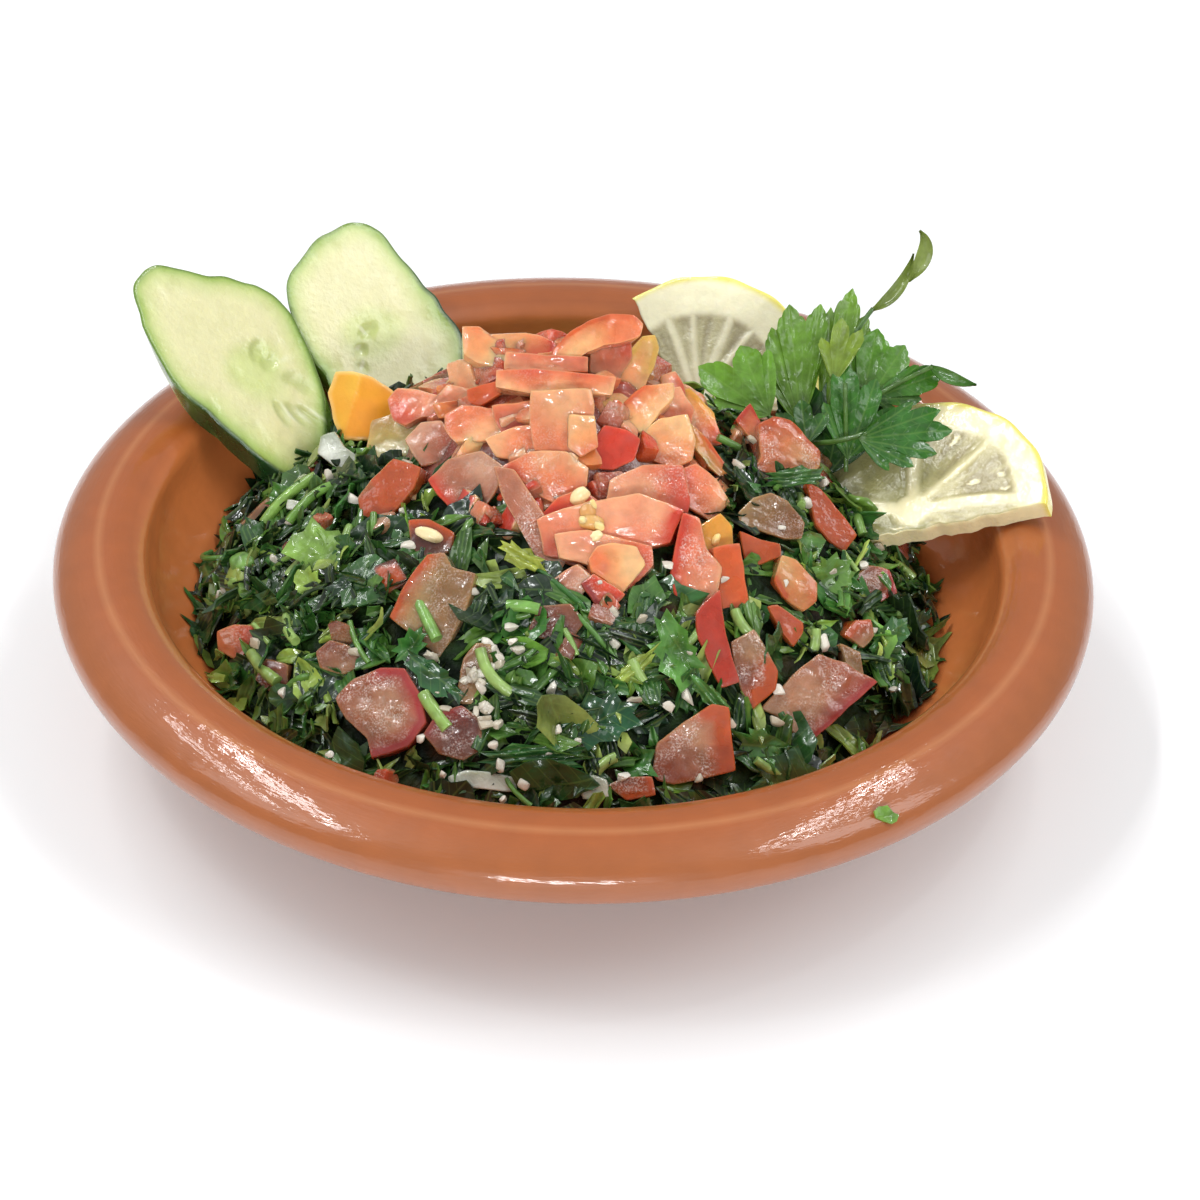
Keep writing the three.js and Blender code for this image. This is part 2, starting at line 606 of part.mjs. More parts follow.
function lobeReach(lobes, degrees) {
  const reach = lobes.map(([direction, length]) => {
    const off = Math.abs(degrees - direction) / LOBE_HALF_ANGLE;
    return length * Math.max(0.3, 1 - 0.42 * off ** 1.25);
  });
  return Math.max(...reach);
}

function leaflet({ base: [bx, by, bz], lobes }) {
  const directions = lobes.map(([direction]) => direction);
  const first = Math.min(...directions) - LEAFLET_MARGIN;
  const last = Math.max(...directions) + LEAFLET_MARGIN;
  const steps = LEAFLET_STEPS;
  const front = [new THREE.Vector3(bx, by, bz)];
  for (const share of [0.55, 1]) {
    for (let i = 0; i <= steps; i++) {
      const degrees = first + ((last - first) * i) / steps;
      const ends = Math.min(i, steps - i) / 3;
      const reach = share * lobeReach(lobes, degrees) * Math.min(1, 0.4 + 0.6 * ends);
      const wave = (share * 1.1 + 0.3) * Math.sin(radians(degrees * 7)) - 0.0035 * reach * reach;
      const [c, s] = [Math.cos(radians(degrees)), Math.sin(radians(degrees))];
      front.push(new THREE.Vector3(bx + reach * c, by + reach * s, bz + wave));
    }
  }
  const back = front.map((p) => p.clone().add(new THREE.Vector3(0, 0, -LEAF_THICKNESS)));
  const inner = (i) => 1 + i;
  const outer = (i) => 2 + steps + i;
  const triangles = [];
  for (let i = 0; i < steps; i++) {
    triangles.push([0, inner(i), inner(i + 1)]);
    triangles.push([inner(i), outer(i), outer(i + 1)], [inner(i), outer(i + 1), inner(i + 1)]);
  }
  const border = [0, inner(0)];
  for (let i = 0; i <= steps; i++) border.push(outer(i));
  border.push(inner(steps));
  return plate(front, back, triangles, border);
}

const vector = (list) => new THREE.Vector3(...list);

function blade({ from, over, to, width }) {
  const path = new THREE.QuadraticBezierCurve3(vector(from), vector(over), vector(to));
  const steps = BLADE_STEPS;
  const front = [path.getPoint(0)];
  for (let i = 1; i < steps; i++) {
    const along = path.getTangent(i / steps);
    const across = new THREE.Vector3(-along.y, along.x, 0).normalize();
    const half = (width / 2) * Math.sin((Math.PI * i) / steps) ** 0.7;
    front.push(path.getPoint(i / steps).addScaledVector(across, half));
    front.push(path.getPoint(i / steps).addScaledVector(across, -half));
  }
  front.push(path.getPoint(1));
  const back = front.map((p) => p.clone().add(new THREE.Vector3(0, 0, -LEAF_THICKNESS)));
  const left = (i) => 2 * i - 1;
  const right = (i) => 2 * i;
  const end = front.length - 1;
  const triangles = [[0, right(1), left(1)]];
  for (let i = 1; i < steps - 1; i++) {
    triangles.push([left(i), right(i), right(i + 1)], [left(i), right(i + 1), left(i + 1)]);
  }
  triangles.push([left(steps - 1), right(steps - 1), end]);
  const border = [0];
  for (let i = 1; i < steps; i++) border.push(right(i));
  border.push(end);
  for (let i = steps - 1; i > 0; i--) border.push(left(i));
  return plate(front, back, triangles, border);
}

function sprigStem({ from, over, to }) {
  return bar(vector(from), vector(over), vector(to), SPRIG_STEM_RADIUS, 5, 4);
}

function makeSprig() {
  const pieces = [...LEAFLETS.map(leaflet), ...BLADES.map(blade), ...SPRIG_STEMS.map(sprigStem)];
  const matrix = placement(...SPRIG_PLACE.at, SPRIG_PLACE.facing);
  return mainBody(Manifold.union(pieces.map((piece) => solidFrom(moved(piece, matrix)))));
}

// Assembly
const COLOURS = {
  dish: [0xb5622f, 0.25],
  salad_heap: [0x2f6a2a, 0.6],
  tomato_heap: [0xe27a66, 0.4],
  cucumber_left: [0xd5e3a0, 0.35],
  cucumber_right: [0xd5e3a0, 0.35],
  lemon_back: [0xf0efc0, 0.35],
  lemon_right: [0xf0efc0, 0.35],
  pepper_piece: [0xf79a1e, 0.3],
  parsley_sprig: [0x3f8433, 0.5],
};

const saladCore = makeSaladCore();
const raisedCore = saladCore.translate([0, 0, FOOD_GAP]);
const dish = makeDish();
const crown = makeCrown(saladCore);
const onCore = (geometry) => mainBody(solidFrom(geometry).subtract(raisedCore));
const solids = { tomato_heap: crown };
for (const [name, { at, facing, outline }] of Object.entries(CUCUMBERS)) {
  solids[name] = onCore(moved(slantedSlice(outline), placement(...at, facing)));
}
for (const [name, { at, facing, slice }] of Object.entries(LEMONS)) {
  solids[name] = onCore(moved(lemonSlice(slice), placement(...at, facing)));
}
solids.pepper_piece = onCore(moved(pepperPiece(), placement(...PEPPER_PLACE.at, PEPPER_PLACE.facing)));
solids.parsley_sprig = mainBody(makeSprig().subtract(raisedCore));
solids.salad_heap = makeSalad(saladCore, [solidFrom(dish), ...Object.values(solids)]);

const tabbouleh = new THREE.Group();
const geometries = { dish };
for (const [name, solid] of Object.entries(solids)) geometries[name] = geometryFrom(solid);
for (const [name, geometry] of Object.entries(geometries)) {
  const [color, roughness] = COLOURS[name];
  const mesh = new THREE.Mesh(geometry, new THREE.MeshStandardMaterial({ color, roughness, metalness: 0 }));
  mesh.name = name;
  tabbouleh.add(mesh);
}

export default tabbouleh;
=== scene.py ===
"""Looks of the tabbouleh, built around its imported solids.

Lengths and places in the tables are millimetres in the part's own frame: the dish's foot is centred on the
origin, +Z is up and the viewer's side is -Y. Meshes are scaled to metres when they are made.
"""

import bpy
import numpy as np
from mathutils import Matrix, Vector


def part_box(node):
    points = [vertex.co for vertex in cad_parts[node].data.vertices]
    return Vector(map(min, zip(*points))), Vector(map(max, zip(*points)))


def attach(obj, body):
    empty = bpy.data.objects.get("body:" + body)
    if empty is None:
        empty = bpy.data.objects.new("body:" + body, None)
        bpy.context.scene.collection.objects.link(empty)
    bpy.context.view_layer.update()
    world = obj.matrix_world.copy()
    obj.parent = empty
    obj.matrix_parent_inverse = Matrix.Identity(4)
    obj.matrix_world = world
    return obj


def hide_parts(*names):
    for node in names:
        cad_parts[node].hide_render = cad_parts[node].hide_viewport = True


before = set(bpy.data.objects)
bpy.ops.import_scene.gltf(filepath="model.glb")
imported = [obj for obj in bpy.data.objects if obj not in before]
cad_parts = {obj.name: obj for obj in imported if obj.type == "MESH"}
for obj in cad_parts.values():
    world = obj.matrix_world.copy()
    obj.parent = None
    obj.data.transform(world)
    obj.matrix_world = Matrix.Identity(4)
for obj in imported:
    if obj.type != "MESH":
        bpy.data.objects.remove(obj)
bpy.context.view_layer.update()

MM = 0.001
BODY = "root"
VEIN_GAP = 2.3
LINE_GAP = 0.8
NO_VEIN = (0, 9, 0)


# Numbers and directions
def rotation(axis, degrees):
    """Matrices that turn about X or Z, one for each angle."""
    angle = np.radians(np.asarray(degrees, float))
    c, s = np.cos(angle), np.sin(angle)
    o, l = np.zeros_like(angle), np.ones_like(angle)
    rows = {"x": [[l, o, o], [o, c, -s], [o, s, c]], "z": [[c, -s, o], [s, c, o], [o, o, l]]}[axis]
    return np.moveaxis(np.array(rows), (0, 1), (-2, -1))


def facing(spin=0, turn=0, tilt=40):
    """How a piece lies: its face looks front, leans back by tilt, turns right by turn and spins in place."""
    return rotation("z", turn) @ rotation("x", 90 - np.asarray(tilt, float)) @ rotation("z", spin)


def placed(points, at, **angles):
    """Points moved to a place and turned to face as the angles say."""
    return points @ facing(**angles).T + np.asarray(at, float)


def unit(vectors):
    return vectors / np.linalg.norm(vectors, axis=-1, keepdims=True)


def smooth(low, high, value):
    t = np.clip((value - low) / (high - low), 0, 1)
    return t * t * (3 - 2 * t)


def mixed(a, b, share):
    share = np.asarray(share, float)[..., None]
    return np.asarray(a) * (1 - share) + np.asarray(b) * share


def hashed(x, y, z, seed):
    """A repeatable random number from 0 to 1 for each whole-number place."""
    n = (x * 73856093) ^ (y * 19349663) ^ (z * 83492791) ^ (seed * 40503 + 977)
    for shift, factor in ((15, 0x2C1B3C6D), (12, 0x297A2D39)):
        n = (((n & 0xFFFFFFFF) >> shift) ^ n) * factor
    return ((n >> 8) & 0xFFFFFF) / 0xFFFFFF


def raised(plan, height=0.0):
    """Points over the places of a plan, at a height."""
    height = np.broadcast_to(np.asarray(height, float), plan.shape[:-1])
    return np.concatenate([plan, height[..., None]], -1)


def flat(x, y, height=0.0):
    """Points over places given as x and y."""
    return raised(np.stack([x, y], -1), height)


def noise(points, size, seed=0):
    """Smooth noise from -1 to 1, with bumps of about the given size."""
    scaled = np.asarray(points, float) / size
    cell = np.floor(scaled).astype(np.int64)
    part = scaled - cell
    part = part * part * (3 - 2 * part)
    total = np.zeros(scaled.shape[:-1])
    for corner in np.ndindex(2, 2, 2):
        weight = np.prod([part[..., k] if corner[k] else 1 - part[..., k] for k in range(3)], axis=0)
        total += weight * hashed(*(cell[..., k] + corner[k] for k in range(3)), seed)
    return 2 * total - 1


def linear(*rgb):
    """Linear light from display values of 0 to 255."""
    value = np.asarray(rgb, float) / 255
    return np.where(value <= 0.04045, value / 12.92, ((value + 0.055) / 1.055) ** 2.4)


# Closed bodies gathered into meshes
def band(inner, outer, inner_after, outer_after):
    """Triangles of the strip between two rows of points, each row with the one that comes after it."""
    return [np.stack([inner, outer, outer_after], 1), np.stack([inner, outer_after, inner_after], 1)]


def stacked(loops):
    """Closed body over a stack of loops, from the middle of its top outwards, down and in again below."""
    count, sides = loops.shape[:2]
    first, last = loops[0].mean(0), loops[-1].mean(0)
    points = np.concatenate([[first], loops.reshape(-1, 3), [last]])
    side = np.arange(sides)
    after = (side + 1) % sides
    zero = np.zeros(sides, int)
    triangles = [np.stack([zero, 1 + side, 1 + after], 1)]
    for loop in range(count - 1):
        a, b = 1 + loop * sides, 1 + (loop + 1) * sides
        triangles += band(a + side, b + side, a + after, b + after)
    end = 1 + (count - 1) * sides
    triangles.append(np.stack([zero + len(points) - 1, end + after, end + side], 1))
    return points, np.concatenate(triangles)


class Pile:
    """Closed bodies in one mesh. Each point has a colour, and a grain that says how rough or wet it is."""

    def __init__(self, tone=(1, 1, 1)):
        self.tone = np.array(tone)
        self.points, self.triangles, self.tints, self.grains, self.spots = [], [], [], [], []
        self.count = 0

    def add(self, points, triangles, tint, grain=0.0, spot=NO_VEIN):
        """One body, or many of one kind as an array with a body in each row.

        Spot is the place along and across a leaf, and whether it is a strip. The glaze keeps its marks there.
        """
        bodies = points.reshape(-1, points.shape[-2], 3)
        number, size = bodies.shape[:2]
        tint = np.asarray(tint, float)
        if tint.ndim == 2 and points.ndim == 3:
            tint = tint[:, None]
        grain = np.asarray(grain, float)
        if grain.ndim == 1 and points.ndim == 3:
            grain = grain[:, None]
        start = self.count + size * np.arange(number)
        self.points.append(bodies.reshape(-1, 3))
        self.triangles.append((triangles[None] + start[:, None, None]).reshape(-1, 3))
        self.tints.append(np.broadcast_to(tint * self.tone, (number, size, 3)).reshape(-1, 3))
        self.grains.append(np.broadcast_to(grain, (number, size)).reshape(-1))
        self.spots.append(np.broadcast_to(np.asarray(spot, float), (number, size, 3)).reshape(-1, 3))
        self.count += number * size

    def put(self, points, triangles, place, *rest):
        """One body, laid where a place says and facing as it says."""
        self.add(placed(points, place["at"], **place["facing"]), triangles, *rest)

    def piece(self, name, slot, material, replaces=(), crease=50):
        """The mesh object, riding on the part."""
        points, triangles = np.concatenate(self.points) * MM, np.concatenate(self.triangles)
        mesh = bpy.data.meshes.new(name)
        mesh.vertices.add(len(points))
        mesh.vertices.foreach_set("co", points.astype(np.float32).ravel())
        mesh.loops.add(3 * len(triangles))
        mesh.loops.foreach_set("vertex_index", triangles.astype(np.int32).ravel())
        mesh.polygons.add(len(triangles))
        mesh.polygons.foreach_set("loop_start", np.arange(0, 3 * len(triangles), 3, dtype=np.int32))
        mesh.update(calc_edges=True)
        mesh.shade_smooth()
        mesh.set_sharp_from_angle(angle=np.radians(crease))
        tints = np.concatenate(self.tints)
        tint = mesh.color_attributes.new("tint", "FLOAT_COLOR", "POINT")
        rgba = np.concatenate([np.clip(tints, 0, 1), np.ones((len(tints), 1))], 1)
        tint.data.foreach_set("color", rgba.astype(np.float32).ravel())
        grain = mesh.attributes.new("grain", "FLOAT", "POINT")
        grain.data.foreach_set("value", np.concatenate(self.grains).astype(np.float32))
        if material in (LEAF, GLAZE):
            spot = mesh.attributes.new("spot", "FLOAT_VECTOR", "POINT")
            spot.data.foreach_set("vector", np.concatenate(self.spots).astype(np.float32).ravel())
        mesh.materials.append(material)
        made = bpy.data.objects.new(name, mesh)
        bpy.context.scene.collection.objects.link(made)
        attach(made, BODY)
        if replaces:
            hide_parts(*replaces)
        return made


# Materials
class Shader:
    """A material whose colour comes from the mesh, with helpers for its texture nodes."""

    def __init__(self, name):
        self.material = bpy.data.materials.new(name)
        self.material.use_nodes = True
        self.tree = self.material.node_tree
        self.surface = self.tree.nodes["Principled BSDF"]
        self.place = self.node("ShaderNodeTexCoord").outputs["Object"]
        self.tint = self.attribute("tint", "Color")
        self.grain = self.attribute("grain", "Fac")

    def node(self, kind, **settings):
        made = self.tree.nodes.new(kind)
        for key, value in settings.items():
            setattr(made, key, value)
        return made

    def link(self, source, target):
        self.tree.links.new(source, target)
        return source

    def attribute(self, name, output):
        return self.node("ShaderNodeAttribute", attribute_name=name).outputs[output]

    def noise(self, size, detail=2.0, distortion=0.0):
        """Noise with bumps of about size millimetres."""
        made = self.node("ShaderNodeTexNoise")
        self.link(self.place, made.inputs["Vector"])
        made.inputs["Scale"].default_value = 1 / (size * MM)
        made.inputs["Detail"].default_value = detail
        made.inputs["Distortion"].default_value = distortion
        return made.outputs["Fac"]

    def ranged(self, source, low, high, to_low, to_high):
        made = self.node("ShaderNodeMapRange")
        for name, value in zip(("From Min", "From Max", "To Min", "To Max"), (low, high, to_low, to_high)):
            made.inputs[name].default_value = value
        self.link(source, made.inputs["Value"])
        return made.outputs["Result"]

    def maths(self, operation, a, b):
        made = self.node("ShaderNodeMath", operation=operation)
        for value, socket in zip((a, b), made.inputs):
            if isinstance(value, (int, float)):
                socket.default_value = value
            else:
                self.link(value, socket)
        return made.outputs[0]

    def blended(self, share, a, b):
        made = self.node("ShaderNodeMix", data_type="RGBA")
        for value, socket in ((share, made.inputs[0]), (a, made.inputs[6]), (b, made.inputs[7])):
            if isinstance(value, bpy.types.NodeSocket):
                self.link(value, socket)
            else:
                socket.default_value = value if np.ndim(value) == 0 else (*value, 1.0)
        return made.outputs[2]

    def mottled(self, size, low, high):
        """The mesh's colour, made darker and lighter in patches."""
        level = self.ranged(self.noise(size, 3.0), 0.3, 0.7, low, high)
        scaled = self.node("ShaderNodeVectorMath", operation="SCALE")
        self.link(self.tint, scaled.inputs[0])
        self.link(level, scaled.inputs["Scale"])
        return scaled.outputs[0]

    def bumps(self, *layers, sockets=("Normal", "Coat Normal")):
        """Bump layers, each a height, a strength and a depth in millimetres."""
        normal = None
        for height, strength, depth in layers:
            made = self.node("ShaderNodeBump")
            made.inputs["Distance"].default_value = depth * MM
            if isinstance(strength, (int, float)):
                made.inputs["Strength"].default_value = strength
            else:
                self.link(strength, made.inputs["Strength"])
            self.link(height, made.inputs["Height"])
            if normal is not None:
                self.link(normal, made.inputs["Normal"])
            normal = made.outputs["Normal"]
        for socket in sockets:
            self.link(normal, self.surface.inputs[socket])

    def set(self, **values):
        for name, value in values.items():
            socket = self.surface.inputs[name.replace("_", " ")]
            if isinstance(value, bpy.types.NodeSocket):
                self.link(value, socket)
            else:
                socket.default_value = value

    def soft(self, weight, radius, depth):
        """Lets light a little way in, to a depth in millimetres."""
        self.set(Subsurface_Weight=weight, Subsurface_Radius=radius, Subsurface_Scale=depth * MM)

    def translucent(self, share, colour):
        """Lets some light through, as a thin leaf does."""
        through = self.node("ShaderNodeBsdfTranslucent")
        self.link(colour, through.inputs["Color"])
        mixer = self.node("ShaderNodeMixShader")
        mixer.inputs[0].default_value = share
        self.link(self.surface.outputs[0], mixer.inputs[1])
        self.link(through.outputs[0], mixer.inputs[2])
        self.link(mixer.outputs[0], self.tree.nodes["Material Output"].inputs["Surface"])


def leaf_material():
    """Wet green leaf with pale veins, or with fine lines along a strip."""
    shader = Shader("parsley")
    parts = shader.node("ShaderNodeSeparateXYZ")
    shader.link(shader.attribute("spot", "Vector"), parts.inputs[0])
    along, across = parts.outputs[0], shader.maths("ABSOLUTE", parts.outputs[1], 0.0)
    slanted = shader.maths("ADD", along, shader.maths("MULTIPLY", across, -0.9))
    wave = shader.maths("PINGPONG", slanted, VEIN_GAP / 2)
    rib = shader.ranged(across, 0.05, 0.3, 1, 0)
    branch = shader.ranged(wave, 0.02, 0.2, 0.7, 0)
    veins = shader.maths("MAXIMUM", rib, branch)
    lines = shader.ranged(shader.maths("PINGPONG", across, LINE_GAP / 2), 0.03, 0.22, 1, 0)
    strip = parts.outputs[2]
    smooth_part = shader.maths("MULTIPLY", veins, shader.maths("SUBTRACT", 1.0, strip))
    vein = shader.maths("ADD", smooth_part, shader.maths("MULTIPLY", lines, strip))
    base = shader.mottled(2.4, 0.78, 1.26)
    pale = shader.blended(0.4, base, linear(150, 186, 92))
    colour = shader.blended(shader.maths("MULTIPLY", vein, 0.45), base, pale)
    shader.set(Base_Color=colour, Roughness=shader.ranged(shader.noise(5), 0.4, 0.62, 0.28, 0.55))
    shader.set(Coat_Weight=shader.ranged(shader.grain, 0, 0.2, 0.3, 0.9), Coat_Roughness=0.06)
    shader.bumps((shader.noise(1.2, 1), 0.3, 0.3), (shader.noise(3.2, 1, 0.6), 0.6, 0.7), (vein, -0.4, 0.12))
    shader.translucent(0.25, colour)
    return shader.material


def tomato_material():
    """Wet flesh: where it is granular, pale specks painted in for its sparkle, and a fine sparkle from bumps.
    """
    shader = Shader("tomato")
    patch = shader.maths("MULTIPLY", shader.ranged(shader.noise(4.5, 1), 0.42, 0.62, 0.1, 1), shader.grain)
    # Painted highlights: pale specks in the colour of granular flesh
    painted_glints = shader.maths("MULTIPLY", shader.ranged(shader.noise(0.36, 1), 0.46, 0.66, 0, 0.45), patch)
    colour = shader.blended(painted_glints, shader.mottled(2.4, 0.88, 1.12), linear(228, 212, 202))
    shader.set(Base_Color=colour, Coat_Weight=1.0, Coat_Roughness=0.04, Specular_IOR_Level=0.4)
    shader.set(Roughness=shader.ranged(shader.noise(4), 0.4, 0.65, 0.25, 0.45))
    shader.soft(0.5, (1.0, 0.4, 0.24), 3.0)
    shader.bumps((shader.noise(2.6, 3), 0.4, 0.5), (shader.noise(0.5, 2), patch, 0.16), sockets=["Normal"])
    waves, drops = shader.noise(1.8, 2), shader.noise(0.5, 1)
    shader.bumps((waves, 0.9, 0.3), (drops, patch, 0.2), sockets=["Coat Normal"])
    return shader.material


def flesh_material(name, size, depth, roughness=(0.2, 0.45), coat=0.5):
    """Pale juicy flesh, for the cucumber, lemon and pepper."""
    shader = Shader(name)
    shader.set(Base_Color=shader.mottled(size * 2, 0.97, 1.03))
    shader.set(Roughness=shader.ranged(shader.noise(4), 0.4, 0.65, *roughness))
    shader.set(Coat_Weight=coat, Coat_Roughness=0.08)
    shader.soft(0.25, (1.0, 0.85, 0.45), 1.5)
    shader.bumps((shader.noise(size, 2), shader.ranged(shader.grain, 0, 1, 0.1, 0.8), depth))
    return shader.material


def glaze_material():
    """Glossy glaze with faint marks that run round the dish."""
    shader = Shader("glaze")
    marks = shader.node("ShaderNodeTexNoise")
    shader.link(shader.attribute("spot", "Vector"), marks.inputs["Vector"])
    marks.inputs["Scale"].default_value = 1.0
    marks.inputs["Detail"].default_value = 2.0
    patches = shader.mottled(6.0, 0.95, 1.05)
    shader.set(Base_Color=patches, Roughness=0.42, Specular_IOR_Level=0.45)
    shader.set(Coat_Weight=0.8, Coat_Roughness=0.05)
    waves, grain = shader.noise(9, 2), shader.noise(0.9, 1)
    shader.bumps((waves, 0.25, 0.5), (marks.outputs["Fac"], 0.5, 0.14), (grain, 0.2, 0.05))
    return shader.material


def core_material():
    """Dark wet mass under the leaves, near-black as painted shade for the gaps between them."""
    shader = Shader("core")
    shader.set(Base_Color=shader.mottled(1.6, 0.5, 1.4), Roughness=0.5, Specular_IOR_Level=0.12)
    shader.bumps((shader.noise(3.0, 3, 1.0), 0.8, 1.4), (shader.noise(0.9, 2), 0.6, 0.4))
    return shader.material


def crumb_material():
    """Pale dull crumb, for the bulgur and the seeds."""
    shader = Shader("crumb")
    shader.set(Base_Color=shader.mottled(0.9, 0.94, 1.05), Roughness=0.45)
    shader.set(Coat_Weight=0.4, Coat_Roughness=0.12)
    shader.soft(0.35, (1.0, 0.95, 0.85), 1.0)
    shader.bumps((shader.noise(0.5, 2), 0.5, 0.15))
    return shader.material


def onion_material():
    """Thin wet onion that lets light through."""
    shader = Shader("onion")
    shader.set(Base_Color=shader.mottled(1.8, 0.85, 1.1), Roughness=0.25)
    shader.set(Coat_Weight=0.9, Coat_Roughness=0.06)
    shader.soft(0.6, (1.0, 1.0, 0.8), 2.0)
    shader.bumps((shader.noise(1.5, 2, 1.5), 0.4, 0.4))
    return shader.material


def juice_material():
    """A thin brown film that fades out with the grain value."""
    shader = Shader("juice")
    shader.set(Base_Color=shader.mottled(3.0, 0.7, 1.2), Roughness=0.08, Alpha=shader.grain)
    shader.bumps((shader.noise(3, 2), 0.3, 0.3))
    return shader.material


LEAF = leaf_material()
TOMATO = tomato_material()
CUCUMBER_FLESH = flesh_material("cucumber", 0.9, 0.15)
LEMON_FLESH = flesh_material("lemon", 0.8, 0.25)
PEPPER_FLESH = flesh_material("pepper", 1.0, 0.25, (0.4, 0.6), 0.3)
GLAZE = glaze_material()
CRUMB = crumb_material()
ONION = onion_material()
JUICE = juice_material()
CORE = core_material()


# Dish: the same profile as the solid's, in finer steps. Radii and heights.
UNDERSIDE = (20, 0)
FOOT = [(49, 0), (50, 3.7)]
FLOOR = (46, 8.5)
LIP = (86, 32.5)
CREST = (93, 37.5)
RIM_EDGE = (105, 31.5)
WALL_BULGE = (45.2, 29)
RIM_CHANNEL = [(91, 30), (96, 31), (98.5, 28.5)]
RIM_UNDERSIDE = (101.5, 26.5)
DISH_SIDES = 192
DISH_CREASE = 60
# The inner wall's own glaze colour, made lighter than the crest's as painted light where the lamps leave the
# wall in shade
GLAZE_INSIDE_PAINTED_LIGHT = linear(204, 116, 60)
GLAZE_CREST = linear(161, 82, 26)
GLAZE_OUTSIDE = linear(153, 83, 35)
# Painted highlight: a pale ring round the top of the rim's dome, where it catches the light
GLAZE_HIGHLIGHT = linear(222, 162, 108)
GLAZE_HIGHLIGHT_RADIUS = 95.3
GLAZE_HIGHLIGHT_WIDTH = 0.45
GLAZE_HIGHLIGHT_SHARE = 0.22
GLAZE_TO_CREST = (85.5, 89)
GLAZE_TO_OUTSIDE = (96, 103)
MARKS_AROUND = 26
MARK_WIDTH = 0.8


def arc(centre, a, b, start, end, steps):
    """Part of an ellipse from one angle to another, measured from straight down."""
    angle = np.radians(np.linspace(start, end, steps + 1))
    return [(centre[0] + a * np.sin(t), centre[1] - b * np.cos(t)) for t in angle]


def dish_profile():
    wall = (FLOOR[0], LIP[1])
    inner = arc(wall, LIP[0] - FLOOR[0], LIP[1] - FLOOR[1], 0, 90, 16)
    over = arc((CREST[0], LIP[1]), CREST[0] - LIP[0], CREST[1] - LIP[1], 270, 180, 8)
    dome = arc((CREST[0], RIM_EDGE[1]), RIM_EDGE[0] - CREST[0], CREST[1] - RIM_EDGE[1], 180, 90, 14)
    under = (RIM_UNDERSIDE[0], RIM_EDGE[1])
    edge = arc(under, RIM_EDGE[0] - RIM_UNDERSIDE[0], RIM_EDGE[1] - RIM_UNDERSIDE[1], 90, 0, 6)
    outer = arc(wall, *WALL_BULGE, 82, 10, 10)
    line = [(12, FLOOR[1]), (30, FLOOR[1]), *inner, *over[1:], *dome[1:], *edge[1:]]
    return np.array([*line, *RIM_CHANNEL[::-1], *outer, *FOOT[::-1], UNDERSIDE])


def make_dish():
    profile = dish_profile()
    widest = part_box("dish")[1].x / MM
    profile[:, 0] *= widest / RIM_EDGE[0]
    angle = 2 * np.pi * np.arange(DISH_SIDES) / DISH_SIDES
    plan = profile[:, None, :1] * np.stack([np.cos(angle), np.sin(angle)], 1)
    points, triangles = stacked(raised(plan, profile[:, 1:]))
    radius = np.hypot(points[:, 0], points[:, 1])
    # The outside begins at the widest loop and ends in the middle of the underside
    loop = np.repeat(np.arange(len(profile)), DISH_SIDES)
    under = np.concatenate([[False], loop > profile[:, 0].argmax(), [True]])
    # Painted light: the inner wall is lighter than the crest
    tint = mixed(GLAZE_INSIDE_PAINTED_LIGHT, GLAZE_CREST, smooth(*GLAZE_TO_CREST, radius))
    tint = mixed(tint, GLAZE_OUTSIDE, np.where(under, 1, smooth(*GLAZE_TO_OUTSIDE, radius)))
    # Painted highlight: the pale ring, on the rim's upper side only
    upper = points[:, 2] > RIM_EDGE[1]
    line = np.exp(-(((radius - GLAZE_HIGHLIGHT_RADIUS) / GLAZE_HIGHLIGHT_WIDTH) ** 2)) * upper
    tint = mixed(tint, GLAZE_HIGHLIGHT, GLAZE_HIGHLIGHT_SHARE * line)
    pile = Pile()
    direction = points[:, :2] / np.maximum(radius, 1)[:, None]
    marks = np.column_stack([MARKS_AROUND * direction, (radius - points[:, 2]) / MARK_WIDTH])
    pile.add(points, triangles, tint, 0, marks)
    pile.piece("dish_glazed", "dish_glaze", GLAZE, ["dish"], crease=DISH_CREASE)


# Heap and crown: the same heights over the table as the solids'
HEAP_RADIUS = 74
HEAP_EDGE_THICKNESS = 2.4
HEAP_PEAK = 52
HEAP_ROUNDNESS = 2.2
SHOULDER = {"x": 40, "y": 12, "rise": 6, "spread": 10}
CROWN = {"x": -3, "y": 12, "half": (37, 33), "base": 40, "peak": 64.5}
TONGUE = {"x": 5, "y": -22, "half": (15, 15), "base": 36, "peak": 47.5}
CROWN_BOTTOM = 28
# How far the pieces of each kind turn away from the heap's slope, in degrees
DISORDER = {"crown": 30, "back": 25, "bits": 40, "leaves": 45, "stems": 22}


def dish_inside(radius):
    """Height of the dish's inner wall at a radius."""
    share = np.clip((radius - FLOOR[0]) / (LIP[0] - FLOOR[0]), 0, 1)
    return LIP[1] - (LIP[1] - FLOOR[1]) * np.sqrt(1 - share**2)


def heap_radius(angle):
    """How far the heap reaches in each direction, a little uneven."""
    return HEAP_RADIUS + 2.5 * np.cos(angle - 2.6) + 1.2 * np.cos(3 * angle + 0.6)


def heap_height(x, y):
    reach = heap_radius(np.arctan2(y, x))
    share = np.minimum(1, np.hypot(x, y) / reach)
    edge = dish_inside(reach) + HEAP_EDGE_THICKNESS
    away = np.hypot(x - SHOULDER["x"], y - SHOULDER["y"]) / SHOULDER["spread"]
    return edge + (HEAP_PEAK - edge) * (1 - share**HEAP_ROUNDNESS) + SHOULDER["rise"] * np.exp(-(away**2) / 2)


def mound_height(mound, x, y):
    share = np.hypot((x - mound["x"]) / mound["half"][0], (y - mound["y"]) / mound["half"][1])
    return mound["base"] + (mound["peak"] - mound["base"]) * (1 - share**HEAP_ROUNDNESS)


